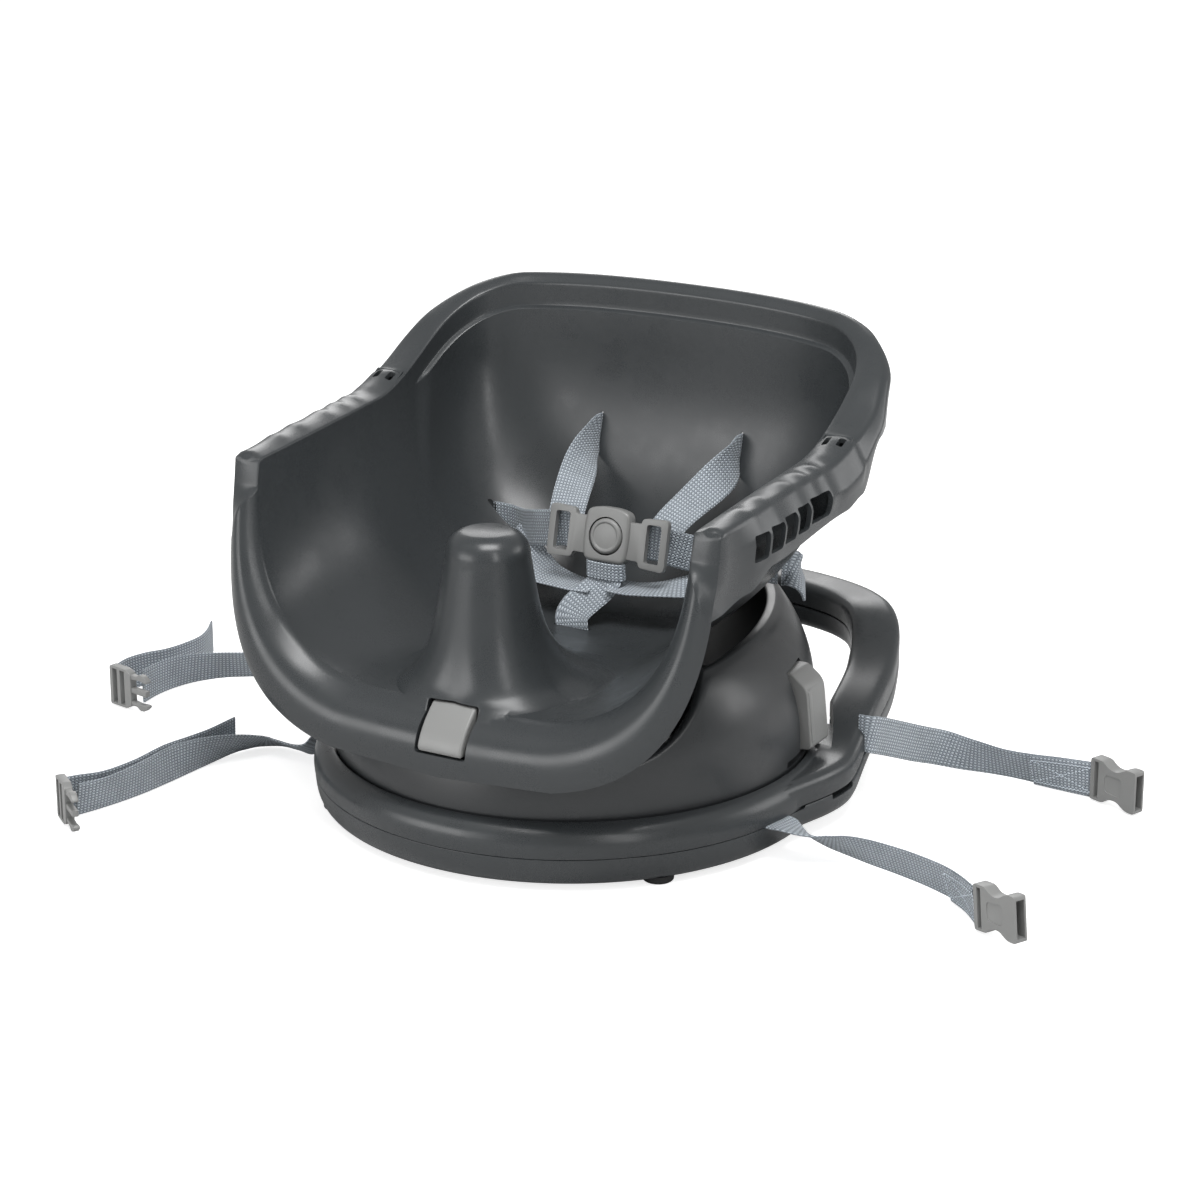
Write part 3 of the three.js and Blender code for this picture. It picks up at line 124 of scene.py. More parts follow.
def through(stations, steps, finer=12):
    """A smooth line through stations, at even steps of its length."""
    knots = [mix(stations[1], stations[0], 2), *stations, mix(stations[-2], stations[-1], 2)]
    fine = []
    for p0, p1, p2, p3 in zip(knots, knots[1:], knots[2:], knots[3:]):
        t1 = math.sqrt(math.dist(p0[:3], p1[:3]))
        t2 = t1 + math.sqrt(math.dist(p1[:3], p2[:3]))
        t3 = t2 + math.sqrt(math.dist(p2[:3], p3[:3]))
        for k in range(finer):
            t = t1 + (t2 - t1) * k / finer
            a = [mix(p0, p1, t / t1), mix(p1, p2, (t - t1) / (t2 - t1)),
                 mix(p2, p3, (t - t2) / (t3 - t2))]
            b = [mix(a[0], a[1], t / t2), mix(a[1], a[2], (t - t1) / (t3 - t1))]
            fine.append(mix(b[0], b[1], (t - t1) / (t2 - t1)))
    fine.append(list(stations[-1]))
    return respaced(fine, [k / steps for k in range(steps + 1)])


def rounded(points, radius, closed=True, steps=4):
    """A line of points with its corners rounded; radius is one number or one for each corner."""
    radii = radius if isinstance(radius, (list, tuple)) else [radius] * len(points)
    most = 0.48
    line = []
    for i, (point, reach) in enumerate(zip(points, radii)):
        if reach <= 0 or (not closed and i in (0, len(points) - 1)):
            line.append(list(point))
            continue
        a, b = [mix(point, other, min(most, reach / max(WELD, math.dist(point, other))))
                for other in (points[i - 1], points[(i + 1) % len(points)])]
        for k in range(steps + 1):
            t = k / steps
            line.append(mix(mix(a, point, t), mix(point, b, t), t))
    return line


def outline_of(table, steps=4):
    """A closed outline from rows of (a, b, rounding of that corner)."""
    return rounded([row[:2] for row in table], [row[2] for row in table], steps=steps)


def circle(radius, count, centre=(0, 0)):
    """Points evenly round a circle."""
    angles = [k * math.pi / (count / 2) for k in range(count)]
    return [(centre[0] + radius * math.cos(a), centre[1] + radius * math.sin(a)) for a in angles]


# Meshes

def surface(bm, across, along, place, scale=None):
    """A grid of faces whose points are set by place(u, v), with u and v from 0 to 1. Where scale is
    given, its UV map is u and v times those lengths in metres."""
    uv = bm.loops.layers.uv.verify()
    faces = set(bm.faces)
    grid = bmesh.ops.create_grid(bm, x_segments=across, y_segments=along, size=1)
    shares = {}
    for vert in grid["verts"]:
        u, v = (vert.co.x + 1) / 2, (vert.co.y + 1) / 2
        shares[vert] = (u, v)
        vert.co = place(u, v)
    if scale:
        for face in bm.faces:
            if face not in faces:
                for loop in face.loops:
                    u, v = shares[loop.vert]
                    loop[uv].uv = (u * scale[0], v * scale[1])
    return grid["verts"]


def close_up(bm):
    """Merges the seam, fills every open end and turns the faces outwards."""
    bmesh.ops.remove_doubles(bm, verts=bm.verts, dist=WELD)
    bmesh.ops.holes_fill(bm, edges=[e for e in bm.edges if e.is_boundary], sides=0)
    bmesh.ops.recalc_face_normals(bm, faces=bm.faces)


def seal(bm):
    """Merges seams, removes slivers and turns the faces outwards."""
    bmesh.ops.remove_doubles(bm, verts=bm.verts, dist=SEAM_WELD)
    bmesh.ops.dissolve_degenerate(bm, dist=WELD, edges=bm.edges)
    bmesh.ops.recalc_face_normals(bm, faces=bm.faces)


def ringed(bm, around, along, section, scale=None):
    """A closed skin: section(v) gives a closed line of points in millimetres at share v along it."""
    rows = {}

    def place(u, v):
        key = round(v * along)
        if key not in rows:
            line = section(v)
            rows[key] = respaced(line + [line[0]], [k / around for k in range(around + 1)])
        return at(*rows[key][round(u * around)])

    surface(bm, around, along, place, scale)
    close_up(bm)


def turned(bm, profile, steps=144, centre=(0, 0)):
    """A closed profile of (radius, z), turned about an upright axis."""
    before = set(bm.verts)
    verts = [bm.verts.new((r * MM, 0, z * MM)) for r, z in profile]
    edges = [bm.edges.new((a, b)) for a, b in zip(verts, verts[1:] + verts[:1])]
    bmesh.ops.spin(bm, geom=verts + edges, cent=(0, 0, 0), axis=UP, angle=2 * math.pi, steps=steps,
                   use_merge=True)
    bmesh.ops.remove_doubles(bm, verts=bm.verts, dist=WELD)
    bmesh.ops.delete(bm, geom=[e for e in bm.edges if not e.link_faces], context="EDGES")
    made = [v for v in bm.verts if v not in before]
    bmesh.ops.recalc_face_normals(bm, faces=bm.faces)
    bmesh.ops.translate(bm, verts=made, vec=at(*centre, 0))


def soften(bm, verts, edges, offset, segments, clamp_overlap=False):
    """Rounds some edges of a shape and returns the vertices that it then has."""
    bevelled = bmesh.ops.bevel(bm, geom=list(edges), offset=offset, offset_type="OFFSET",
                               segments=segments, profile=0.5, affect="EDGES", material=-1,
                               clamp_overlap=clamp_overlap)
    return list({v for v in verts if v.is_valid} | set(bevelled["verts"]))


def plate(bm, outline, low, high, turn, bevel=0.0, segments=3):
    """An outline of (a, b) pairs with thickness from low to high; turn(a, b, c) gives each point."""
    verts = [bm.verts.new((a, b, low)) for a, b in outline]
    face = bmesh.ops.contextual_create(bm, geom=verts)["faces"]
    grown = bmesh.ops.extrude_face_region(bm, geom=face)["geom"]
    raised = [g for g in grown if isinstance(g, bmesh.types.BMVert)]
    bmesh.ops.translate(bm, verts=raised, vec=(0, 0, high - low))
    made = verts + raised
    if bevel:
        rims = {e for v in made for e in v.link_edges if abs(e.verts[0].co.z - e.verts[1].co.z) < WELD}
        made = soften(bm, made, rims, bevel, segments, clamp_overlap=True)
    for vert in made:
        vert.co = at(*turn(*vert.co))
    bm.normal_update()
    bmesh.ops.recalc_face_normals(bm, faces=bm.faces)


def cube(bm, size, middle):
    """A box about its middle; both are in metres."""
    verts = bmesh.ops.create_cube(bm, size=1)["verts"]
    bmesh.ops.scale(bm, vec=size, verts=verts)
    bmesh.ops.translate(bm, vec=middle, verts=verts)
    return verts


def block(bm, x, y, z, bevel=0.0, segments=3):
    """A box between pairs of x, y and z, with its edges rounded."""
    low, high = at(min(x), min(y), min(z)), at(max(x), max(y), max(z))
    verts = cube(bm, high - low, (low + high) / 2)
    if bevel:
        soften(bm, verts, {e for v in verts for e in v.link_edges}, bevel * MM, segments)


def mirrored_blocks(bm, boxes):
    """The same boxes of (x, y, z, rounding) on the right and on the left."""
    for side, _ in SIDES:
        for x, y, z, bevel in boxes:
            block(bm, [side * value for value in x], y, z, bevel)


def oblong(x, y):
    """The outline of a rectangle between pairs of x and y."""
    return [(x[0], y[0]), (x[1], y[0]), (x[1], y[1]), (x[0], y[1])]


def plates(turn, *tables):
    """A shape made of plates, each given as (outline, low, high, bevel, segments)."""
    def build(bm):
        for outline, low, high, *edges in tables:
            plate(bm, outline, low, high, turn, *edges)
    return build


def along_x(a, b, c):
    """Turns a plate's outline into the upright plane fore and aft, with its thickness along x."""
    return (c, a, b)


def both_sides(bm):
    """Adds the other side of everything in the mesh, across x = 0."""
    copy = bmesh.ops.duplicate(bm, geom=bm.verts[:] + bm.edges[:] + bm.faces[:])["geom"]
    bmesh.ops.scale(bm, vec=(-1, 1, 1), verts=[g for g in copy if isinstance(g, bmesh.types.BMVert)])
    bmesh.ops.reverse_faces(bm, faces=[g for g in copy if isinstance(g, bmesh.types.BMFace)])


def new_object(name, build):
    """An object at the origin whose mesh is filled by build(bm)."""
    mesh = bpy.data.meshes.new(name)
    bm = bmesh.new()
    build(bm)
    bm.to_mesh(mesh)
    bm.free()
    piece = bpy.data.objects.new(name, mesh)
    bpy.context.scene.collection.objects.link(piece)
    return piece


def settle(piece):
    """Makes the result of an object's modifiers its own mesh."""
    bpy.context.view_layer.update()
    made = bpy.data.meshes.new_from_object(piece.evaluated_get(bpy.context.evaluated_depsgraph_get()))
    piece.modifiers.clear()
    old, piece.data = piece.data, made
    bpy.data.meshes.remove(old)
    made.name = piece.name


def joined(piece, tool, operation="UNION"):
    """Joins a second closed object onto a piece, or cuts it away, and removes that object."""
    modifier = piece.modifiers.new("join", "BOOLEAN")
    modifier.operation, modifier.solver, modifier.object = operation, "EXACT", tool
    settle(piece)
    if not piece.data.polygons:
        raise RuntimeError(f"nothing is left of {piece.name}")
    mesh = tool.data
    bpy.data.objects.remove(tool)
    bpy.data.meshes.remove(mesh)
    return piece


def carve(piece, build, operation="DIFFERENCE"):
    """Cuts away, or joins on, the shape that build(bm) makes."""
    return joined(piece, new_object("tool", build), operation)


def finish(piece, body, slot, replaces=(), crease=32.0, material=None):
    """Shades a finished piece, gives it its finish and fixes it to its body."""
    bm = bmesh.new()
    bm.from_mesh(piece.data)
    bmesh.ops.remove_doubles(bm, verts=bm.verts, dist=SEAM_WELD)
    limit = math.radians(crease)
    for edge in bm.edges:
        edge.smooth = len(edge.link_faces) == 2 and edge.calc_face_angle(0) < limit
    for face in bm.faces:
        face.smooth = True
        face.material_index = 0
    bm.to_mesh(piece.data)
    bm.free()
    piece.data.materials.clear()
    piece.data.materials.append(material or finish_of(slot))
    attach(piece, body)
    if replaces:
        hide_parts(*replaces)
    return piece


# Materials

FLOW_SCALE, FLOW_DEPTH, GRAIN_DEPTH = 38.0, 0.035, 0.03
THREAD_STRETCH, FUZZ_SCALE, FUZZ_HEIGHT, DRIFT_SCALE = 1.25, 2600.0, 0.12, 60.0
MOULDINGS = {  # slot: name of the material, roughness, grain scale, bump, metallic
    "body": ("charcoal_moulding", 0.3, 2400.0, 0.05, 0.0),
    "pod": ("charcoal_pod_moulding", 0.33, 2400.0, 0.05, 0.0),
    "pale": ("grey_moulding", 0.4, 2600.0, 0.06, 0.0),
    "rubber": ("black_rubber", 0.75, 1500.0, 0.2, 0.0),
    "steel": ("plain_steel", 0.3, 1800.0, 0.05, 1.0),
    "bearing": ("white_slide_ring", 0.5, 2400.0, 0.05, 0.0),
}
GRAIN_BUMP, WEAVE_BUMP = 0.0002, 0.0006


class Nodes:
    """Short calls that add and join nodes of one tree."""

    def __init__(self, tree):
        self.tree = tree
        tree.nodes.clear()

    def add(self, kind, inputs=None, **settings):
        node = self.tree.nodes.new(kind)
        for name, value in settings.items():
            setattr(node, name, value)
        for name, value in (inputs or {}).items():
            if isinstance(value, bpy.types.NodeSocket):
                self.tree.links.new(value, node.inputs[name])
            else:
                node.inputs[name].default_value = value
        return node

    def math(self, operation, a, b=0.0, c=0.0):
        return self.add("ShaderNodeMath", {0: a, 1: b, 2: c}, operation=operation).outputs[0]

    def ramp(self, value, low, high, to_low=0.0, to_high=1.0):
        return self.add("ShaderNodeMapRange", {"Value": value, "From Min": low, "From Max": high,
                                               "To Min": to_low, "To Max": to_high},
                        interpolation_type="SMOOTHSTEP").outputs["Result"]

    def noise(self, vector, scale, detail=2.0, roughness=0.5):
        return self.add("ShaderNodeTexNoise", {"Vector": vector, "Scale": scale, "Detail": detail,
                                               "Roughness": roughness}).outputs["Fac"]

    def colour(self, share, a, b):
        return self.add("ShaderNodeMix", {0: share, 6: a, 7: b}, data_type="RGBA").outputs[2]

    def scaled(self, colour, by):
        return self.add("ShaderNodeVectorMath", {0: colour, "Scale": by}, operation="SCALE").outputs[0]

    def place(self):
        return self.add("ShaderNodeTexCoord").outputs["Object"]

    def seen(self):
        """Light Path's outputs, and 1 for a ray from the camera or through glass."""
        path = self.add("ShaderNodeLightPath").outputs
        return path, self.math("MAXIMUM", path["Is Camera Ray"], path["Is Transmission Ray"])


def node_group(name, inputs, outputs, build):
    """A shader node group, made once; build(nodes, inputs) gives what its outputs put out."""
    if name in bpy.data.node_groups:
        return bpy.data.node_groups[name]
    tree = bpy.data.node_groups.new(name, "ShaderNodeTree")
    nodes = Nodes(tree)
    for label, kind, default in inputs:
        socket = tree.interface.new_socket(label, in_out="INPUT", socket_type=kind)
        socket.default_value = default
    for label, kind in outputs:
        tree.interface.new_socket(label, in_out="OUTPUT", socket_type=kind)
    source = nodes.add("NodeGroupInput")
    nodes.add("NodeGroupOutput", build(nodes, source.outputs))
    return tree


def moulded_grain(nodes, given):
    """Moulded plastic: a faint cloudiness, a fine spark grain and a roughness that wanders."""
    place = nodes.place()
    cloud = nodes.noise(place, given["Cloud scale"], 3.0, 0.6)
    grain = nodes.noise(place, given["Grain scale"], 2.0, 0.6)
    flow = nodes.noise(place, FLOW_SCALE)
    shade = nodes.math("MULTIPLY_ADD", nodes.ramp(cloud, 0.3, 0.7, -1.0, 1.0), given["Cloud depth"], 1.0)
    wander = nodes.math("ADD", nodes.ramp(flow, 0.3, 0.7, -FLOW_DEPTH, FLOW_DEPTH),
                        nodes.ramp(grain, 0.3, 0.7, -GRAIN_DEPTH, GRAIN_DEPTH))
    return {"Colour": nodes.scaled(given["Colour"], shade),
            "Roughness": nodes.math("ADD", given["Roughness"], wander), "Height": grain}


def woven(nodes, given):
    """Webbing: rows of slanted light threads, with painted shade on the lower threads between them and in
    the gaps, from the UV map in metres.
    """
    uv = nodes.add("ShaderNodeSeparateXYZ", {0: nodes.add("ShaderNodeUVMap").outputs[0]})
    size = given["Thread"]
    across = nodes.math("DIVIDE", uv.outputs[0], size)
    along = nodes.math("DIVIDE", uv.outputs[1], nodes.math("MULTIPLY", size, THREAD_STRETCH))
    rise, fall = [nodes.math("SINE", nodes.math("MULTIPLY", nodes.math(way, across, along), math.pi))
                  for way in ("ADD", "SUBTRACT")]
    bumps = nodes.math("MULTIPLY", rise, fall)
    height = nodes.math("ABSOLUTE", bumps)
    place = nodes.place()
    fuzz = nodes.noise(place, FUZZ_SCALE, 2.0, 0.7)
    drift = nodes.noise(place, DRIFT_SCALE)
    # The low threads and the gaps between threads get darker colours: painted shade in the hollows of the
    # weave, with the fuzz adding random tone.
    shade = nodes.math("MULTIPLY", nodes.ramp(bumps, -0.42, 0.3), nodes.ramp(fuzz, 0.25, 0.75, 0.72, 1.0))
    thread = nodes.colour(shade, given["Under"], given["Over"])
    shaded = nodes.colour(nodes.ramp(height, 0.02, 0.3), given["Gap"], thread)
    return {"Colour": nodes.scaled(shaded, nodes.ramp(drift, 0.3, 0.7, 0.94, 1.06)),
            "Height": nodes.math("MULTIPLY_ADD", fuzz, FUZZ_HEIGHT, height)}


def grain_group():
    return node_group("Moulded grain", [
        ("Colour", "NodeSocketColor", (0.07, 0.08, 0.09, 1)), ("Roughness", "NodeSocketFloat", 0.4),
        ("Grain scale", "NodeSocketFloat", 2400.0), ("Cloud scale", "NodeSocketFloat", 14.0),
        ("Cloud depth", "NodeSocketFloat", 0.03)],
        [("Colour", "NodeSocketColor"), ("Roughness", "NodeSocketFloat"), ("Height", "NodeSocketFloat")],
        moulded_grain)


def weave_group():
    # The second and third colours are painted shade for the low threads and the gaps of the weave.
    return node_group("Woven webbing", [
        ("Over", "NodeSocketColor", (0.5, 0.55, 0.6, 1)),
        ("Under", "NodeSocketColor", (0.12, 0.14, 0.17, 1)),
        ("Gap", "NodeSocketColor", (0.05, 0.06, 0.08, 1)), ("Thread", "NodeSocketFloat", 0.0021)],
        [("Colour", "NodeSocketColor"), ("Height", "NodeSocketFloat")], woven)


def plain(colour):
    return (*colour[:3], 1.0)


def shader_material(name, group, values, bump, distance, **sockets):
    """A material whose shader takes its colour, roughness and bump from a node group."""
    if name in bpy.data.materials:
        return bpy.data.materials[name]
    material = bpy.data.materials.new(name)
    material.use_nodes = True
    nodes = Nodes(material.node_tree)
    effect = nodes.add("ShaderNodeGroup", values, node_tree=group).outputs
    inputs = {label.replace("_", " "): value for label, value in sockets.items()}
    inputs["Base Color"] = effect["Colour"]
    if "Roughness" in effect:
        inputs["Roughness"] = effect["Roughness"]
    inputs["Normal"] = nodes.add("ShaderNodeBump", {
        "Strength": bump, "Distance": distance, "Height": effect["Height"]}).outputs[0]
    shader = nodes.add("ShaderNodeBsdfPrincipled", inputs)
    nodes.add("ShaderNodeOutputMaterial", {0: shader.outputs[0]})
    return material


def grained(name, colour, roughness, scale, bump, metallic):
    """A moulded, rubber or metal finish."""
    return shader_material(name, grain_group(), {
        "Colour": plain(colour), "Roughness": roughness, "Grain scale": scale}, bump, GRAIN_BUMP,
        Metallic=metallic)


def finish_of(slot):
    """The material of one of the record's slots."""
    look = bpy.context.scene.booster_finishes
    # The webbing's second and third colours are painted shade for its low threads and its gaps.
    if slot == "webbing":
        return shader_material("grey_webbing", weave_group(), {
            "Over": plain(look.webbing), "Under": plain(look.webbing_shade),
            "Gap": plain(look.webbing_gap)}, 0.9, WEAVE_BUMP, Roughness=0.82, Sheen_Weight=0.25,
            Sheen_Roughness=0.4)
    name, *values = MOULDINGS[slot]
    return grained(name, getattr(look, slot), *values)


def thread_material():
    """The sewing thread, a little lighter than the webbing."""
    colour = [min(1.0, 1.1 * c) for c in bpy.context.scene.booster_finishes.webbing]
    return grained("sewing_thread", colour, 0.7, 5000.0, 0.3, 0.0)


# Settings

def colour_setting(name, description, default):
    return FloatVectorProperty(name=name, description=description, default=default, size=3, min=0,
                               max=1, subtype="COLOR")


def length_setting(name, description, default, least, most):
    return FloatProperty(name=name, description=f"{description}, in millimetres", default=default,
                         min=least, max=most)


class BoosterFinishes(bpy.types.PropertyGroup):
    """Colours of the finishes."""
    body: colour_setting("Seat and base", "Charcoal moulding of the seat and the base",
                         (0.034, 0.0378, 0.0402))
    pod: colour_setting("Pod", "Charcoal moulding of the pod", (0.029, 0.0315, 0.0335))
    pale: colour_setting("Levers and clips", "Mid grey moulding", (0.23, 0.232, 0.228))
    webbing: colour_setting("Webbing", "Light threads of the webbing", (0.60, 0.655, 0.71))
    # The webbing's dark threads and its gaps are painted shade in the hollows of the weave.
    webbing_shade: colour_setting("Webbing shade", "Dark threads of the webbing", (0.27, 0.305, 0.34))
    webbing_gap: colour_setting("Webbing gaps", "Gaps between the threads", (0.13, 0.15, 0.175))
    rubber: colour_setting("Feet", "Black rubber", (0.012, 0.012, 0.013))
    steel: colour_setting("Steel", "Rods, pins and rack", (0.5, 0.51, 0.53))
    bearing: colour_setting("Slide ring", "White ring under the turntable", (0.72, 0.72, 0.69))


class BoosterSizes(bpy.types.PropertyGroup):
    """Sizes that a user would change."""
    shell: length_setting("Seat wall", "Wall of the seat bucket", 3.2, 2.0, 3.2)
    edge: length_setting("Edge rounding", "Rounding of moulded edges", 0.9, 0.2, 1.2)
    web_width: length_setting("Webbing width", "Width of the webbing", 25.0, 20.0, 26.0)
    web_thick: length_setting("Webbing thickness", "Thickness of the webbing", 1.5, 1.0, 1.6)
    lens: FloatProperty(name="Lens", description="Focal length of the camera", default=96.0, min=20,
                        max=200, unit="CAMERA")


class BoosterOperator:
    """What the operators of this file share."""
    bl_options = {"REGISTER", "UNDO"}

    @property
    def sizes(self):
        return bpy.context.scene.booster_sizes


# Stage

def aim(thing, target):
    """Turns a lamp or the camera to look at a point."""
    toward = (Vector(target) - thing.location).to_track_quat("-Z", "Y")
    thing.rotation_euler = toward.to_euler()


class BOOSTER_OT_stage(BoosterOperator, bpy.types.Operator):
    """Floor, world, soft lamps and the camera"""
    bl_idname = "booster.stage"
    bl_label = "Stage"

    lamps = (  # name, place, width and height, power
        ("soft_key", (-1.5, -1.2, 2.3), (1.2, 1.2), 1.5),
        ("right_strip", (2.1, -1.7, 1.4), (0.35, 2.0), 13.0),
        ("top_sheet", (0.5, -0.7, 2.5), (1.5, 1.0), 52.0),
        ("front_panel", (-1.35, -2.4, 0.75), (1.8, 1.0), 24.0),
        ("back_panel", (-1.2, 2.1, 1.3), (1.6, 1.2), 17.0),
        ("side_panel", (2.0, 1.4, 0.9), (1.2, 1.2), 14.0),
    )
    lamp_target = (0, 0, 0.15)
    floor_half, floor_glow = 9, 0.75
    world_light, world_in_gloss = 0.42, 0.45
    camera_place, camera_view = (0.99033, -1.75406, 0.80545), (-0.466, 0.825, -0.321)

    def floor_material(self):
        material = bpy.data.materials.new("pale_floor")
        material.use_nodes = True
        nodes = Nodes(material.node_tree)
        tone = nodes.ramp(nodes.noise(nodes.place(), 3.0), 0.3, 0.7, 0.66, 0.68)
        colour = nodes.add("ShaderNodeCombineColor", {0: tone, 1: tone, 2: tone}).outputs[0]
        _, seen = nodes.seen()
        shader = nodes.add("ShaderNodeBsdfPrincipled", {
            "Base Color": colour, "Roughness": 0.9, "Specular IOR Level": 0.0,
            "Emission Color": (1, 1, 1, 1),
            "Emission Strength": nodes.math("MULTIPLY", seen, self.floor_glow)})
        nodes.add("ShaderNodeOutputMaterial", {0: shader.outputs[0]})
        return material

    def world(self):
        world = bpy.data.worlds.new("white_room")
        world.use_nodes = True
        nodes = Nodes(world.node_tree)
        path, seen = nodes.seen()
        glossy = nodes.math("MULTIPLY", path["Is Glossy Ray"], self.world_in_gloss)
        strength = nodes.math("MAXIMUM", nodes.math("MAXIMUM", seen, glossy), self.world_light)
        ground = nodes.add("ShaderNodeBackground", {"Color": (1, 1, 1, 1), "Strength": strength})
        nodes.add("ShaderNodeOutputWorld", {0: ground.outputs[0]})
        return world

    def execute(self, context):
        scene = context.scene
        scene.view_settings.view_transform = "Standard"
        scene.world = self.world()
        floor = new_object("floor", lambda bm: bmesh.ops.create_grid(
            bm, x_segments=4, y_segments=4, size=self.floor_half))
        floor.data.materials.append(self.floor_material())
        for name, place, size, power in self.lamps:
            lamp = bpy.data.lights.new(name, "AREA")
            lamp.shape = "RECTANGLE"
            lamp.size, lamp.size_y = size
            lamp.energy = power
            thing = bpy.data.objects.new(name, lamp)
            thing.location = place
            thing.visible_camera = False
            scene.collection.objects.link(thing)
            aim(thing, self.lamp_target)
        camera = bpy.data.objects.new("camera", bpy.data.cameras.new("camera"))
        camera.data.sensor_width = 36.0
        camera.data.lens = self.sizes.lens
        camera.location = self.camera_place
        aim(camera, camera.location + Vector(self.camera_view))
        scene.collection.objects.link(camera)
        scene.camera = camera
        return {"FINISHED"}


# Webbing

WEB_AROUND = 44
FOLD_SHIFT, STITCH_SHIFTS = -1.65, (("front", 0.95), ("back", -2.6))
STITCH_HALF, STITCH_PITCH, STITCH_RADIUS = 9.0, 2.6, 0.38
CHAIR_STRAPS = {
    "front_right": {
        "route": [(165, -30.3, 23, -.18, -.98, 0), (171, -31, 22.9, -.15, -.99, .02),
                  (178, -32, 22.2, -.05, -.98, .15), (187, -30.5, 19, .3, -.9, .32),
                  (197, -26, 15.4, .35, -.75, .55), (209, -22.5, 13, .15, -.64, .75),
                  (227, -24, 12.8, -.1, -.46, .88), (248, -28, 12.8, -.12, -.37, .91),
                  (270, -34.5, 12.9, -.14, -.31, .94), (292, -44, 13, -.16, -.24, .96),
                  (307, -55, 13.2, -.17, -.16, .98), (321, -69, 13.4, -.1, -.09, .99)],
        "clip": ("socket", (322.6, -70.6), (0.88, -0.475), 7)},
    "rear_right": {
        "route": [(173, 77, 49, *UP), (179.6, 77.4, 48.8, *UP), (182.6, 82.5, 46.8, .04, .12, .99),
                  (184.2, 93, 42.5, .1, .3, .95), (187, 107, 36.5, .12, .35, .93),
                  (193, 130, 26.5, .15, .33, .93), (201, 149, 18.8, .2, .2, .95),
                  (213, 157, 14.6, .18, -.05, .98), (228, 159.5, 13.2, .05, -.26, .96),
                  (245, 159, 12.8, 0, -.38, .92), (264, 158.5, 12.9, -.02, -.34, .94),
                  (284, 158.5, 13.2, -.02, -.2, .98), (306, 158.5, 13.4, 0, -.07, 1)],
        "clip": ("socket", (307.6, 158.4), (0.93, -0.37), 0)},
    "front_left": {
        "route": [(-165, -30.3, 23, .18, -.98, 0), (-171, -31.5, 22.4, .1, -.99, .04),
                  (-176, -36, 17.8, 0, -.98, .18), (-180.5, -40.5, 10.8, -.05, -.93, .36),
                  (-187.5, -42, 7.8, -.11, -.85, .52), (-200.5, -40.6, 7.8, -.1, -.85, .52),
                  (-212.5, -40.2, 8, .15, -.83, .53), (-220, -45, 8.3, .55, -.6, .56),
                  (-223.8, -51.5, 9, .72, -.3, .62), (-227.6, -61, 10.4, .68, -.14, .72),
                  (-233.7, -80, 12, .42, -.04, .91), (-238.6, -99, 12.9, .15, 0, .99),
                  (-242.2, -117, 13, -.03, 0, 1), (-244.4, -151, 13, .14, -.03, .99),
                  (-249.9, -181, 13, .26, -.07, .96), (-257, -200, 13.2, .22, -.06, .97)],
        "tail": [(-270.3, -199.5, 13.4, .05, 0, 1), (-266, -190, 13.4, .15, 0, .99),
                 (-258, -175, 13.2, .26, -.05, .96), (-250.5, -151, 13.2, .15, 0, .99),
                 (-247.4, -118, 13.2, 0, 0, 1), (-244, -98, 13.2, .1, 0, .99),
                 (-241, -80, 13.2, .15, 0, .99), (-239.5, -66, 13.2, .12, 0, .99),
                 (-237.5, -52, 13.4, .05, 0, 1)],
        "clip": ("prong", (-268, -203), (0.8, -0.6), 0)},
    "rear_left": {
        "route": [(-173, 77, 49, *UP), (-178.5, 78, 48.6, -.02, .08, .99), (-190, 84, 44, -.15, .2, .97),
                  (-206, 92, 36, -.3, .15, .94), (-224, 97, 27, -.35, -.02, .93),
                  (-242, 97, 19.8, -.22, -.2, .95), (-262, 92, 14.6, -.03, -.34, .94),
                  (-286, 82, 13, .13, -.4, .9), (-309, 69, 12.9, .23, -.38, .9),
                  (-327, 57, 13, .26, -.3, .92), (-340, 43, 13.1, .22, -.14, .96),
                  (-347, 28, 13.2, .13, -.04, .99), (-350, 10, 13.4, .03, -.01, 1),
                  (-349, -8, 13.4, *UP)],
        "tail": [(-371, -16, 13.4, *UP), (-373, -6, 13.4, *UP), (-374, 8, 13.4, *UP),
                 (-370, 23, 13.4, *UP), (-362, 37, 13.4, *UP), (-358, 53, 13.4, *UP),
                 (-357, 72, 13.4, *UP), (-362, 88, 13.4, *UP), (-370, 104, 13.6, *UP)],
        "clip": ("prong", (-368, -18), (0.98, -0.2), 0)},
}


def run_at(line, k):
    """The direction of a line at its point k."""
    return (Vector(line[min(k + 1, len(line) - 1)][:3]) - Vector(line[max(k - 1, 0)][:3])).normalized()


def web_rings(line, width=None, thick=None):
    """Section points of a web at each point of its line, whose last three numbers point across it."""
    sizes = bpy.context.scene.booster_sizes
    half, deep = (width or sizes.web_width) / 2, (thick or sizes.web_thick) / 2
    outline = rounded(oblong((-half, half), (-deep, deep)), 0.8 * deep, steps=3)
    rings = []
    for k, station in enumerate(line):
        run = run_at(line, k)
        across = Vector(station[3:6])
        across -= run * across.dot(run)
        across.normalize()
        out = across.cross(run)
        rings.append([list(Vector(station[:3]) + across * a + out * b) for a, b in outline])
    return rings


def web(name, stations, body="base", replaces=(), width=None, thick=None, step=2.0):
    """A flat web that follows its stations; returns the piece and its line in metres."""
    steps = max(4, round(length_of(through(stations, 40)) / step))
    line = through(stations, steps)
    rings = web_rings(line, width, thick)
    unrolled = (length_of(rings[0] + rings[0][:1]) * MM, length_of(line) * MM)
    piece = new_object(name, lambda bm: ringed(bm, WEB_AROUND, steps, lambda v: rings[round(v * steps)],
                                               unrolled))
    finish(piece, body, "webbing", replaces, crease=70)
    return piece, [at(*point[:3]) for point in line]


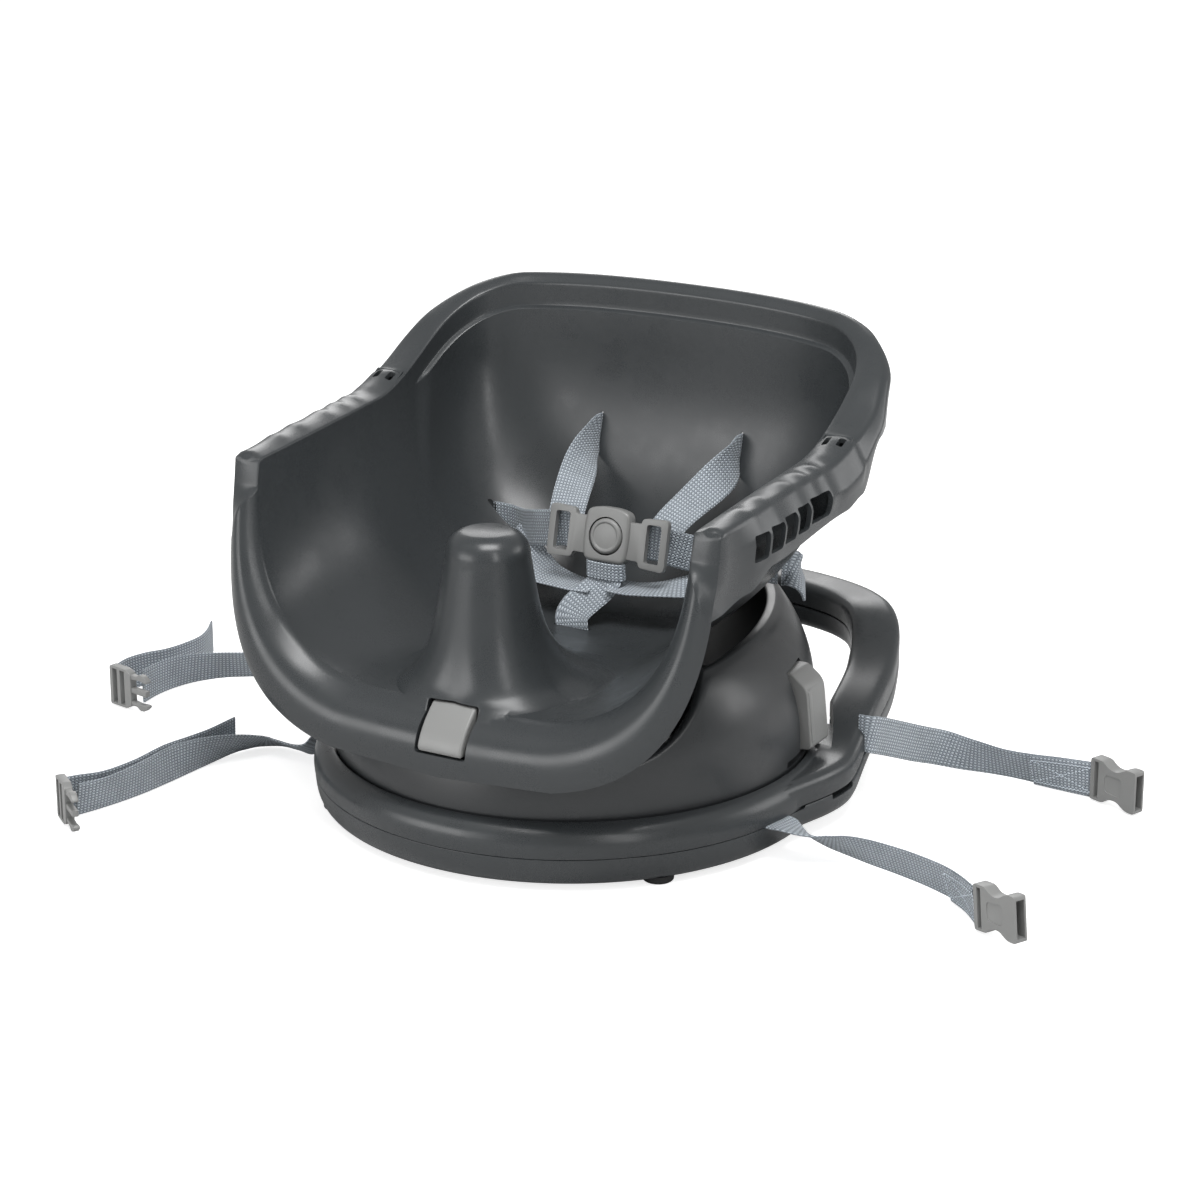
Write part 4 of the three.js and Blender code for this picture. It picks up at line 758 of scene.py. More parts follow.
def offset_stations(stations, shift):
    """Stations of a second layer that lies on the face of a web."""
    moved = []
    for k, station in enumerate(stations):
        out = Vector(station[3:6]).cross(run_at(stations, k)).normalized()
        moved.append((*(Vector(station[:3]) + out * shift), *station[3:6]))
    return moved


def stitches(name, stations, shift):
    """A box of stitches with a cross in it, on one face of a doubled web of the base."""
    line = through(stations, 24)
    low, high = -STITCH_HALF, STITCH_HALF
    corners = [(0, low), (0, high), (1, high), (1, low), (0, low), (1, high), (1, low), (0, high)]

    def spot(share, aside):
        place, ahead, behind = [respaced(line, [clamp(share + step)])[0] for step in (0, 0.02, -0.02)]
        across = Vector(place[3:6]).normalized()
        out = across.cross((Vector(ahead[:3]) - Vector(behind[:3])).normalized()).normalized()
        return Vector(place[:3]) + across * aside + out * shift

    def build(bm):
        for (s0, a0), (s1, a1) in zip(corners, corners[1:]):
            count = max(2, round(math.hypot((s1 - s0) * length_of(line), a1 - a0) / STITCH_PITCH))
            for k in range(count):
                start, end = [spot(s0 + (s1 - s0) * t, a0 + (a1 - a0) * t)
                              for t in ((k + 0.14) / count, (k + 0.86) / count)]
                along = end - start
                made = bmesh.ops.create_icosphere(bm, subdivisions=1, radius=1)["verts"]
                bmesh.ops.scale(bm, vec=(STITCH_RADIUS * MM, STITCH_RADIUS * MM, along.length / 2 * MM),
                                verts=made)
                bmesh.ops.rotate(bm, cent=(0, 0, 0), matrix=along.to_track_quat("Z", "Y").to_matrix(),
                                 verts=made)
                bmesh.ops.translate(bm, vec=at(*((start + end) / 2)), verts=made)

    return finish(new_object(name, build), "base", "webbing", crease=180, material=thread_material())


# Clips

CLIP_HALF, CLIP_Z = 14.6, 16


def clip_turn(spot, heading, raised):
    """Turns a clip's own frame (along it, across it, and out of its face) into the part's."""
    tilt, angle = math.radians(raised), math.atan2(heading[1], heading[0])

    def turn(a, b, c):
        x, z = a * math.cos(tilt) - b * math.sin(tilt), a * math.sin(tilt) + b * math.cos(tilt)
        return (spot[0] + x * math.cos(angle) - c * math.sin(angle),
                spot[1] + x * math.sin(angle) + c * math.cos(angle), CLIP_Z + z)
    return turn


def both_ways(upper):
    return upper + [(x, -z) for x, z in reversed(upper)]


def socket_clip(name, turn):
    """A buckle half that takes the prongs, with a bar for its strap and a dish on each face."""
    outline = both_ways([(0, 13.6), (1, CLIP_HALF), (11, CLIP_HALF), (15, 11.5), (19, 10.2), (24, 10.4),
                         (28, 13), (32, CLIP_HALF), (38, CLIP_HALF), (39, 13.6)])
    hollow = both_ways([(16.5, 7.6), (28, 8.4), (30, 11.6), (41, 12)])
    dish = rounded([(12.5, 6.0), (27, 6.8), (27, -6.8), (12.5, -6.0)], 3.0, steps=5)
    piece = new_object(name, plates(turn, (rounded(outline, 2.4, steps=5), -4.5, 4.5, 1.1, 4)))
    carve(piece, plates(turn, (oblong((3.4, 7), (-12.8, 12.8)), -6, 6, 0.4)))
    carve(piece, plates(turn, (rounded(hollow, 1.2), -3, 3)))
    return carve(piece, plates(turn, (dish, 3.9, 6, 0.3), (dish, -6, -3.9, 0.3)))


def prong_clip(name, turn):
    """A buckle half with two bars for its strap, two side prongs and a middle tongue."""
    outline = both_ways([(0, 13.6), (1, CLIP_HALF), (17, CLIP_HALF), (22, 12)])
    prong = [(20, 8), (20, 11.8), (27, 11.2), (31, 13.6), (35, 13), (39, 9.5), (38, 8), (30, 9)]
    piece = new_object(name, plates(turn, (rounded(outline, 1.6, steps=5), -3, 3, 0.9, 4)))
    for x in (3.2, 11.0):
        carve(piece, plates(turn, (oblong((x, x + 4.6), (-12.8, 12.8)), -6, 6, 0.3)))
    pair = [(rounded([(x, side * z) for x, z in prong], 1.2), -2.2, 2.2, 0.5) for side, _ in SIDES]
    return carve(piece, plates(turn, *pair, (oblong((20, 37), (-2, 2)), -2.2, 2.2, 0.6)), "UNION")


class BOOSTER_OT_chair_straps(BoosterOperator, bpy.types.Operator):
    """The four webbing straps of the base, with their clips and their sewn ends"""
    bl_idname = "booster.chair_straps"
    bl_label = "Chair straps"

    def execute(self, context):
        for name, table in CHAIR_STRAPS.items():
            kind, spot, heading, raised = table["clip"]
            build = socket_clip if kind == "socket" else prong_clip
            clip = build(f"clip_{name}", clip_turn(spot, heading, raised))
            finish(clip, "base", "pale", (f"strap_clip_{name}",), crease=40)
            strap, path = web(f"strap_{name}", table["route"], replaces=(f"chair_strap_{name}",))
            on_it = [clip]
            if "tail" in table:
                tail, _ = web(f"strap_tail_{name}", table["tail"], replaces=(f"chair_strap_tail_{name}",))
                on_it.append(tail)
            else:
                end = table["route"][-3:]
                on_it.append(web(f"strap_end_{name}", offset_stations(end, FOLD_SHIFT))[0])
                on_it += [stitches(f"strap_stitch_{face}_{name}", end, shift)
                          for face, shift in STITCH_SHIFTS]
            tuple(path[0])
            length_of(path)
            [tuple(p) for p in path]
        return {"FINISHED"}


# Seat bucket

FLOOR_Z, ARM_Z, BACK_TOP_Z = 109.0, 239.0, 309.0
FLOOR_MIDDLE_Y = 34.1
FRONT_Y, FRONT_REACH = -125, 21
CREASE_LENGTH = 395.0
LIP_HALF, LIP_BOTTOM, LIP_TOP_Y, LIP_REACH = 174.0, 68.5, -126.0, 42.0
# Along the crease from the front of the armrest, in millimetres: how far out and up the rim's fold and
# its outer edge lie, and where the skirt ends.
FOLD_OUT = [(0, 18.5), (60, 20), (165, 23), (196, 23), (222, 19), (251, 13), (275, 9), (395, 8)]
FOLD_UP = [(0, 0), (60, 1), (165, 0), (196, -2), (222, 2), (251, 5), (275, 6), (395, 6)]
EDGE_OUT = [(0, 18.5), (60, 28), (165, 31), (196, 29.5), (222, 24), (251, 16.5), (275, 12.5), (395, 11.5)]
EDGE_DOWN = [(0, 15), (60, 14), (165, 15), (196, 9), (222, 5), (251, 2), (275, 1), (395, 1)]
SKIRT_Z = [(0, 189), (30, 196), (55, 208), (150, 217), (172, 222), (200, 252)]
SKIRT_END, SKIRT_DROP = 222, 17
PAD_RIDGES, PAD_HEIGHT, PAD_HOLLOW = (-126, -89, -66, -35, -16, 0, 20), 3.0, 1.4
COLUMNS, WALL_ROWS, FLOOR_ROWS, SKIRT_POINTS = 128, 50, 9, 10
WINDOW_SLOPE = 0.078
MIDDLE_STRIP = 20
POST_Y, POST_AROUND, POST_WALL = -104, 96, 3.2


def swelling(start, gain, t, rise, bend):
    """A value that grows quickly from its start and levels off as t comes to 1."""
    return start + gain * (1 - (1 - t) ** rise) ** bend


def level_line(z):
    """Half of the bucket's inner outline at a height, from the front of the armrest to the spine."""
    to_arm, to_top = [clamp((z - FLOOR_Z) / (end - FLOOR_Z)) for end in (ARM_Z, BACK_TOP_Z)]
    middle = swelling(57, 99, clamp((z - FLOOR_Z) / 147), 1.8, 0.71)
    at_front = swelling(40, 115.5, to_arm, 2.6, 0.4)
    rear = swelling(62, 83, to_top, 2.4, 0.7)
    front = FRONT_Y - FRONT_REACH * (1 - to_arm) ** 0.8
    bend = min(rear - 20, 60 * to_top ** 0.35)
    power = 2 / (2.6 + min(1, to_top * 1.4))
    line = []
    for i in range(40):
        y = front + (bend - front) * i / 40
        line.append((middle + (at_front - middle) * smooth((-20 - y) / 118), y, z))
    for i in range(91):
        angle = i / 90 * math.pi / 2
        x = middle * max(0.0, math.cos(angle)) ** power
        line.append((0 if x < WELD else x, bend + (rear - bend) * math.sin(angle) ** power, z))
    return line


def crease_height(share):
    """Height of the crease between wall and rim at a share of its length."""
    s = share * CREASE_LENGTH
    even = s - max(0, s - 300) ** 2 / 190
    return ARM_Z if share == 0 else 239.5 + 0.055 * even + 50.6 * smooth((s - 138) / 142)


def lip_at(t):
    """The front flange's outer edge at share t of the way down."""
    return (LIP_HALF * max(0.0, 1 - t ** 3.2) ** (1 / 3.2), LIP_TOP_Y - LIP_REACH * t ** 1.25,
            ARM_Z - (ARM_Z - LIP_BOTTOM) * t)


def ledge(share, height):
    """How far the back wall stands in below its ledge, close under the crease."""
    s = share * CREASE_LENGTH
    fade = 1 - smooth((-height - 18) / 80)
    return 3.6 * smooth((s - 184) / 16) * smooth((-15.2 - height) / 1.9) * fade


def wall_levels(top):
    """Heights of the wall's rows, close together at the ledge."""
    near = (24, 20.5, 18.2, 17.3, 16.6, 16, 15.4, 14.6, 12, 8.5, 5, 2.5, 0)
    rows = WALL_ROWS - len(near) + 1
    lower = [FLOOR_Z + (top - near[0] - FLOOR_Z) * (i / rows) ** 1.3 for i in range(rows)]
    return lower + [top - drop for drop in near]


def pad_rise(y, s):
    """Armrest pad: a raised top with soft hollows between its ridges."""
    raised = smooth((s + 4) / 8) * smooth((171.5 - s) / 3)
    wave = 0.0
    for a, b in zip(PAD_RIDGES, PAD_RIDGES[1:]):
        if a <= y <= b:
            wave = math.sin((y - a) / (b - a) * math.pi)
    return raised * (PAD_HEIGHT - PAD_HOLLOW * wave)


def rim_line(column, out, share):
    """The rolled rim over one column: up the wall, over the fold and down the skirt."""
    s = share * CREASE_LENGTH
    x, y, z = column[-1]

    def point(distance, height):
        return [x + out[0] * distance, y + out[1] * distance, height]

    pad = pad_rise(y, s)
    lift = 0.8 * pad
    fold, up, edge, down = [between(table, s) for table in (FOLD_OUT, FOLD_UP, EDGE_OUT, EDGE_DOWN)]
    low = z - SKIRT_DROP
    if s < SKIRT_END:
        low = min(between(SKIRT_Z, s), low)
    fall = z + up - down - low
    controls = [column[-2], column[-1],
                point(min(5, fold * 0.3), z + 0.35 * up + 1.2 + 0.3 * lift),
                point(0.45 * fold, z + 0.6 * up + 1.1 + lift),
                point(0.7 * fold, z + 0.85 * up + 1.0 + lift),
                point(fold + 0.25 * pad, z + up + 0.5 * lift),
                point(edge + 0.6 * pad, z + up - down),
                point(edge - 0.5 + 0.4 * pad, low + 0.6 * fall),
                point(edge - 1, low + 0.3 * fall), point(edge - 1.5, low)]
    span = min(3.2, 0.3 * fold)
    return rounded(controls, [0, 1.6, 0, 0, 0, span, 0.6 * span + 1, 0, 0, 0], closed=False)[1:]


def rim_columns():
    """Points of the inner wall and of the rim over it, column by column from the front to the spine."""
    shares = [j / COLUMNS for j in range(COLUMNS + 1)]
    creases = [respaced(level_line(crease_height(share)), [share])[0] for share in shares]
    columns, rims = [], []
    for j, share in enumerate(shares):
        top = crease_height(share)
        column = [respaced(level_line(z), [share])[0] for z in wall_levels(top)]
        before = creases[max(0, j - 1)]
        after = creases[j + 1] if j < COLUMNS else (-creases[j - 1][0], creases[j - 1][1], 0)
        run = Vector((after[0] - before[0], after[1] - before[1])).normalized()
        out = (1, 0) if j == 0 else (run.y, -run.x)
        for i, (x, y, z) in enumerate(column):
            shift = ledge(share, z - top)
            column[i] = [x - out[0] * shift, y - out[1] * shift, z]
        rim = rim_line(column, out, share)
        column[-1] = rim[0]
        columns.append(column)
        rims.append(rim)
    return columns, rims


def flange_edges(column, rim):
    """The inner and the outer edge of the front flange, point by point, and the rim's fold.

    Brings the first rim's skirt onto the flange's outer edge."""
    fold = len(rim) - 1 - SKIRT_POINTS
    for k in range(fold, len(rim)):
        x, y, _ = lip_at(clamp((ARM_Z - rim[k][2]) / (ARM_Z - LIP_BOTTOM)))
        rim[k] = [min(x, rim[k][0]), y, rim[k][2]]
    inner = [mix((0, column[0][1], FLOOR_Z), column[0], k / FLOOR_ROWS) for k in range(FLOOR_ROWS)]
    inner += column
    run = [0.0]
    for a, b in zip(inner, inner[1:]):
        run.append(run[-1] + math.dist(a, b))
    lip_line = [(0, LIP_TOP_Y - LIP_REACH, LIP_BOTTOM)]
    lip_line += [lip_at(1 - (k / 400) ** 0.6) for k in range(1, 401)]
    meeting = len(inner) - 1 - SKIRT_POINTS
    end = rim[-1]
    lower = [p for p in lip_line if p[2] < end[2] - 0.2] + [end]
    outer = respaced(lower, [run[i] / run[meeting] for i in range(meeting + 1)])
    return inner, outer + rim[fold:-1][::-1], fold


def bucket_skin(bm):
    """The seat's upper side: floor, walls, rolled rim and front flange."""
    columns, rims = rim_columns()
    inner, outer, fold = flange_edges(columns[0], rims[0])
    rows, last = len(inner) - 1, len(rims[0]) - 1

    def flange(u, v):
        i, m = round(u * rows), round(v * fold)
        if i == rows:
            return at(*rims[0][m])
        t = m / fold
        drop = smooth((inner[i][2] - outer[i][2]) / (FLOOR_Z - LIP_BOTTOM))
        swell = math.sin(math.pi * t) * (1 + 7 * drop)
        x, y, z = mix(inner[i], outer[i], t)
        return at(x, y - swell, z + swell * 0.5 * drop)

    def floor(u, v):
        x, y, z = columns[round(u * COLUMNS)][0]
        middle = min(y, FLOOR_MIDDLE_Y)
        return at(x * v, middle + (y - middle) * v, z)

    surface(bm, COLUMNS, FLOOR_ROWS, floor)
    surface(bm, COLUMNS, WALL_ROWS, lambda u, v: at(*columns[round(u * COLUMNS)][round(v * WALL_ROWS)]))
    surface(bm, COLUMNS, last, lambda u, v: at(*rims[round(u * COLUMNS)][round(v * last)]))
    surface(bm, rows, fold, flange)
    bmesh.ops.remove_doubles(bm, verts=bm.verts, dist=SEAM_WELD)
    both_sides(bm)
    seal(bm)
    middle = [f for f in bm.faces if abs(f.calc_center_median().x) < MIDDLE_STRIP * MM]
    if max(middle, key=lambda f: f.normal.z ** 2).normal.z < 0:
        bmesh.ops.reverse_faces(bm, faces=bm.faces)


def post_skin(inset):
    """The crotch post, domed and flaring into the floor; with an inset, the hollow under it."""
    sections = []
    for i in range(29):
        t = i / 28
        flare = 26 * (1 - t) ** 5 + (0 if inset else 13 * (1 - t) ** 30)
        sections.append((42 - 15 * t ** 0.9, flare, 108.7 + 85.3 * t))
    for angle in range(8, 88, 8):
        a = math.radians(angle)
        sections.append((12 + 15 * math.cos(a), 0, 195 + 16 * math.sin(a)))

    def section(v):
        i = round(v * (len(sections) - 1))
        radius, flare, z = sections[i]
        drop = inset * i / len(sections) + (4 if inset and i == 0 else 0)
        line = []
        for k in range(POST_AROUND):
            a = k / POST_AROUND * 2 * math.pi
            rise, side = math.sin(a), abs(math.cos(a))
            stretch = flare * (1.6 * max(0, rise) + 0.12 * max(0, -rise) + 0.6 * side)
            r = radius - inset + (0.75 if inset else 1) * stretch
            sink = 9 * max(0, -rise) ** 0.5 if i == 0 else 0
            line.append([r * math.cos(a), POST_Y + r * math.sin(a), z - drop - sink])
        return line

    return lambda bm: ringed(bm, POST_AROUND, len(sections) - 1, section)


def seat_cuts(bm):
    """Windows, holes and slits of the bucket, and the opening of the recline button."""
    spots = [(-93 + 17 * i, 231.5 + 1.4 * i) for i in range(4)]
    windows = [((174.4 + WINDOW_SLOPE * y, 197), (y, y + 14.8), (z - 17, z), 1.6) for y, z in spots]
    rear_window = ((173, 197), (-25, -1), (221, 237), 1.6)
    holes = [((x - 2.2, x + 2.2), (34, 42.5), (238.5, 272), 1.2) for x in (163, 173)]
    shoulder_slit = ((52.9, 55.1), (108, 162), (196.5, 222.3), 0.9)
    waist_slit = ((86, 140), (82.6, 85.4), (137, 164), 0.9)
    mirrored_blocks(bm, [*windows, rear_window, *holes, shoulder_slit, waist_slit])
    block(bm, (-23.5, 3.5), (16, 19.6), (88, 122), 1.2)
    block(bm, (-15.8, 20.8), (-192, -138), (82.3, 112.4), 2.2, 4)


class BOOSTER_OT_seat(BoosterOperator, bpy.types.Operator):
    """The moulded bucket with its rolled rim, armrest pads, flange and crotch post"""
    bl_idname = "booster.seat"
    bl_label = "Seat bucket"

    linings = (  # name, outline, its x, hollow, its x, how far x follows y
        ("skirt_channel", ((-98, 210), (2.5, 217), (2.5, 239.4), (-98, 235)), (162, 175),
         ((-96.6, 211.5), (1.1, 218.4), (1.1, 238), (-96.6, 233.6)), (163.4, 190), WINDOW_SLOPE),
        ("rim_socket", ((30.5, 237), (46, 237), (46, 258), (30.5, 250)), (157.5, 178),
         ((31.9, 238.4), (44.6, 238.4), (44.6, 270), (31.9, 270)), (158.9, 176.6), 0.0),
    )
    guide_walls, guide_wall = (-17.2, 20.9), 1.3

    def lining(self, side, name, outline, x, hollow, hollow_x, slope):
        """The dark channel behind the windows, or the socket under the rim's holes."""
        def turn(a, b, c):
            return (side * (c + slope * (a + 98)), a, b)

        piece = new_object(name, plates(turn, (outline, *x)))
        carve(piece, plates(turn, (hollow, *hollow_x)))
        finish(piece, "seat", "body")

    def guide(self):
        """Walls beside and below the recline button, behind the flange."""
        cheek = ((-164.5, 81), (-163, 86), (-160.5, 91.5), (-156.5, 97), (-151, 102), (-145, 105.8),
                 (-136, 107), (-136, 81))

        def build(bm):
            plates(along_x, *[(cheek, low, low + self.guide_wall) for low in self.guide_walls])(bm)
            block(bm, (-17.2, 22.2), (-164, -136), (79.6, 80.9))

        finish(new_object("button_guide", build), "seat", "body")

    def execute(self, context):
        piece = new_object("bucket", bucket_skin)
        wall = piece.modifiers.new("wall", "SOLIDIFY")
        wall.thickness = self.sizes.shell * MM
        wall.offset = -1
        wall.use_even_offset = True
        edges = piece.modifiers.new("edges", "BEVEL")
        edges.width = self.sizes.edge * MM
        edges.segments = 2
        edges.limit_method = "ANGLE"
        edges.angle_limit = math.radians(55)
        settle(piece)
        carve(piece, post_skin(0), "UNION")
        carve(piece, post_skin(POST_WALL))
        carve(piece, seat_cuts)
        finish(piece, "seat", "body", ("seat_shell",), crease=38)
        for side, side_name in SIDES:
            for name, *shape in self.linings:
                self.lining(side, f"{name}_{side_name}", *shape)
        self.guide()
        return {"FINISHED"}


# Pod

POD_BASE, POD_TOP = 44.0, 123.0
POD_SIDES, POD_ROWS = 168, 26
POD_RIM = ((0.35, 0.75), (1.2, 0.15), (2.4, 0), (5.2, 0.35), (6.8, 0.9), (7.7, 1.7), (8, 2.8), (7.7, 4.2),
           (5.5, 4.8), (3, 6))  # inset and drop from the top of the wall
LEVER_WINDOW = ((128, 182), (26.3, 57.8), (42, 101), 1.4)
LEVER_GROOVE = ((150, 176), (4, 29.5), (42, 49), 0.5)


def drawn_in(point, inset, z):
    """A point moved towards the swivel axis by an inset."""
    x, y = point[:2]
    length = math.hypot(x, y)
    return [x - x / length * inset, y - y / length * inset, z]


def pod_point(angle, z, inset):
    """A point of the pod's wall, drawn in towards the axis."""
    u = clamp((z - POD_BASE) / (POD_TOP - POD_BASE))
    half = 127.5 + 29.5 * max(0.0, 1 - u ** 2.6) ** 0.75
    rear, front = 157 + 24 * math.sin(u * math.pi / 2), 157 - 27.5 * u ** 1.5
    centre, power = -30 * u ** 1.6, 2 + 0.15 * math.sin(math.pi * u)
    c, s = math.cos(angle), math.sin(angle)
    x = half * math.copysign(abs(c) ** (2 / power), c)
    y = centre + (rear - centre if s > 0 else front + centre) * math.copysign(abs(s) ** (2 / power), s)
    return drawn_in((x, y), inset, z)


def pod_ring(angle):
    """One section of the pod: up its outside, over the rim and down its inside."""
    bottom = POD_BASE + 0.3
    y = pod_point(angle, POD_TOP, 0)[1]
    top = 123 - 46 * smooth((-48 - y) / 62)
    heights = [bottom + (top - 1.6 - bottom) * (k / POD_ROWS) ** 0.85 for k in range(POD_ROWS + 1)]
    ring = [pod_point(angle, z, 0) for z in heights]
    edge = pod_point(angle, top, 0)
    ring += [drawn_in(edge, inset, top - drop) for inset, drop in POD_RIM]
    ring += [pod_point(angle, min(z, top - 6), 3) for z in reversed(heights[:-1])]
    return ring


def pod_skin(bm):
    rings = [pod_ring((i + 0.5) / POD_SIDES * 2 * math.pi) for i in range(POD_SIDES)]
    count = len(rings[0])
    surface(bm, POD_SIDES, count, lambda u, v: at(
        *rings[round(u * POD_SIDES) % POD_SIDES][round(v * count) % count]))
    seal(bm)


class BOOSTER_OT_pod(BoosterOperator, bpy.types.Operator):
    """The cup that turns on the base, with its rim and the lever openings"""
    bl_idname = "booster.pod"
    bl_label = "Pod"

    def execute(self, context):
        piece = new_object("pod", pod_skin)
        for opening in (LEVER_WINDOW, LEVER_GROOVE):
            carve(piece, lambda bm: mirrored_blocks(bm, [opening]))
        finish(piece, "pod", "pod", ("pod_shell",), crease=36)
        return {"FINISHED"}


# Base

RAIL = [(148, -30), (156, 0), (163, 26), (165, 45), (162, 70), (159, 92), (154, 122), (147, 152),
        (133, 186), (104, 214), (60, 229), (0, 231)]
RAIL_WIDTH, RAIL_HEIGHT, RAIL_STEPS, RAIL_AROUND = 33.0, 33.0, 150, 56
LOOP_SPLIT, LOOP_GAP = 0.48, 0.5 / 33
LOOP_CLEAR = {  # cut out of each half: the drum, the levers' sweep and the other half
    "lower": [(0, -5), (167, -5), (167, 22.85), (172.5, 22.85), (172.5, 70), (0, 70)],
    "upper": [(0, -5), (172.5, -5), (172.5, 23.15), (167, 23.15), (167, 41), (158.8, 41), (158.8, 44.2),
              (172.5, 44.2), (172.5, 150), (0, 150)],
}
BASE_SIDES, LOOP_CUT_SIDES = 216, 168
FRONT_SLOT_ANGLE = math.asin(-31 / 171)


def rail_top(y):
    """Height of the loop handle's top, averaged over a short run so that its rise has no kink."""
    rises = []
    for k in range(-3, 4):
        share = clamp((y + 4 * k - 56) / 134)
        rises.append(share + 0.09 * math.sin(2 * math.pi * share) - 0.02 * math.sin(math.pi * share))
    return 42 + 53.5 * sum(rises) / len(rises)


def rail_skin(low_share, high_share):
    """One half of the loop handle, between two shares of its height."""
    stations = [(x, y, 0) for x, y in RAIL] + [(-x, y, 0) for x, y in reversed(RAIL[:-1])]
    line = through(stations, RAIL_STEPS)
    small, large = 0.5, 9.0
    radii = [large, large, small, small] if low_share == 0 else [small, small, large, large]
    half = RAIL_WIDTH / 2

    def section(v):
        i = round(v * RAIL_STEPS)
        before, after = line[max(0, i - 1)], line[min(RAIL_STEPS, i + 1)]
        run = Vector((after[0] - before[0], after[1] - before[1])).normalized()
        foot = rail_top(line[i][1]) - RAIL_HEIGHT
        heights = (foot + RAIL_HEIGHT * low_share, foot + RAIL_HEIGHT * high_share)
        outline = rounded(oblong((-half, half), heights), radii, steps=6)
        return [[line[i][0] + run.y * a, line[i][1] - run.x * a, b] for a, b in outline]

    return lambda bm: ringed(bm, RAIL_AROUND, RAIL_STEPS, section)


def loop_half(name, low_share, high_share):
    """A half of the loop, cut clear of the drum, the levers' sweep and the other half."""
    return carve(new_object(f"{name}_loop", rail_skin(low_share, high_share)),
                 lambda bm: turned(bm, LOOP_CLEAR[name], LOOP_CUT_SIDES))


def strap_slots(bm):
    """The slots for the chair straps.

    Bevelling sets tags of its own, so this doesn't place the right-hand slots at their straps."""
    for side, _ in SIDES:
        box = cube(bm, (40 * MM, 27 * MM, 4 * MM), (170 * MM, 0, 23 * MM))
        soften(bm, box, {e for v in box for e in v.link_edges}, 1.2 * MM, 2)
        made = [v for v in bm.verts if not v.tag]
        turn = Matrix.Rotation(FRONT_SLOT_ANGLE, 3, "Z")
        bmesh.ops.rotate(bm, cent=(0, 0, 0), matrix=turn, verts=made)
        bmesh.ops.scale(bm, vec=(side, 1, 1), verts=made)
        if side < 0:
            bmesh.ops.reverse_faces(bm, faces=list({f for v in made for f in v.link_faces}))
        bmesh.ops.translate(bm, vec=at(0, 0, 0), verts=made)
        block(bm, (side * 164, side * 190), (75.2, 78.8), (35.5, 62.5), 1.0, 2)
        for v in bm.verts:
            v.tag = True


def ribs(bm):
    """Ribs of the pan, from its centre well out to its edge."""
    for i in range(12):
        rib = cube(bm, (97.5 * MM, 2.4 * MM, 9 * MM), (117.5 * MM, 0, 12.5 * MM))
        turn = Matrix.Rotation(math.radians(15 + 30 * i), 3, "Z")
        bmesh.ops.rotate(bm, cent=(0, 0, 0), matrix=turn, verts=rib)
        bmesh.ops.translate(bm, vec=at(0, 0, 0), verts=rib)


class BOOSTER_OT_base(BoosterOperator, bpy.types.Operator):
    """The round base: its lower pan, its upper ring, both halves of the loop handle and the feet"""
    bl_idname = "booster.base"
    bl_label = "Base"

    pan = ((0, 5.5, 0), (157, 5.5, 0.8), (158.5, 4, 0.8), (162, 4, 3), (166.5, 5.6, 3.5), (169.4, 12, 5),
           (170.4, 22.85, 0.5), (167.4, 22.85, 0.4), (166.4, 13, 3), (162.5, 8.5, 3), (0, 8.5, 0))
    well = ((68, 8), (71, 8), (71, 21), (68, 21))
    ring = ((170.5, 23.15, 0.5), (171, 28, 2.5), (170.6, 33, 2.5), (168.6, 38, 2.5), (164.5, 42.2, 2.5),
            (158.8, 44, 0.7), (158.8, 38, 0.3), (118, 38, 0.5), (118, 30, 0.5), (121, 30, 0.3),
            (121, 35, 1), (158.2, 35, 1), (162.5, 39, 1.2), (165.8, 36, 2), (167.6, 31, 2),
            (167.5, 23.15, 0.4))
    foot = ((0, 0.6, 0), (3.4, 0.6, 0.3), (4.2, 0, 0.3), (8.2, 0, 0.6), (9.3, 0.35, 0.5), (10, 1.3, 0.4),
            (10, 5.2, 0.3), (0, 5.2, 0))
    pocket = ((0, -1), (10.3, -1), (10.3, 5.5), (0, 5.5))
    foot_angles, foot_reach = (-40, 40, 140, 220), 156

    def foot_spots(self):
        angles = [math.radians(angle) for angle in self.foot_angles]
        return [(self.foot_reach * math.cos(a), self.foot_reach * math.sin(a)) for a in angles]

    def pockets(self, bm):
        for spot in self.foot_spots():
            turned(bm, self.pocket, 48, spot)

    def execute(self, context):
        pan = new_object("pan", lambda bm: turned(bm, outline_of(self.pan), BASE_SIDES))
        carve(pan, lambda bm: turned(bm, self.well, 96), "UNION")
        carve(pan, ribs, "UNION")
        joined(pan, loop_half("lower", 0, LOOP_SPLIT - LOOP_GAP))
        carve(pan, self.pockets)
        carve(pan, strap_slots)
        finish(pan, "base", "body", ("base_pan",), crease=30)
        ring = new_object("ring", lambda bm: turned(bm, outline_of(self.ring), BASE_SIDES))
        joined(ring, loop_half("upper", LOOP_SPLIT + LOOP_GAP, 1))
        carve(ring, strap_slots)
        finish(ring, "base", "body", ("base_ring",), crease=30)
        for number, spot in enumerate(self.foot_spots(), 1):
            foot = new_object(f"rubber_foot_{number}",
                              lambda bm: turned(bm, outline_of(self.foot), 64, spot))
            finish(foot, "base", "rubber", (f"foot_{number}",))
        return {"FINISHED"}


# Levers and recline button

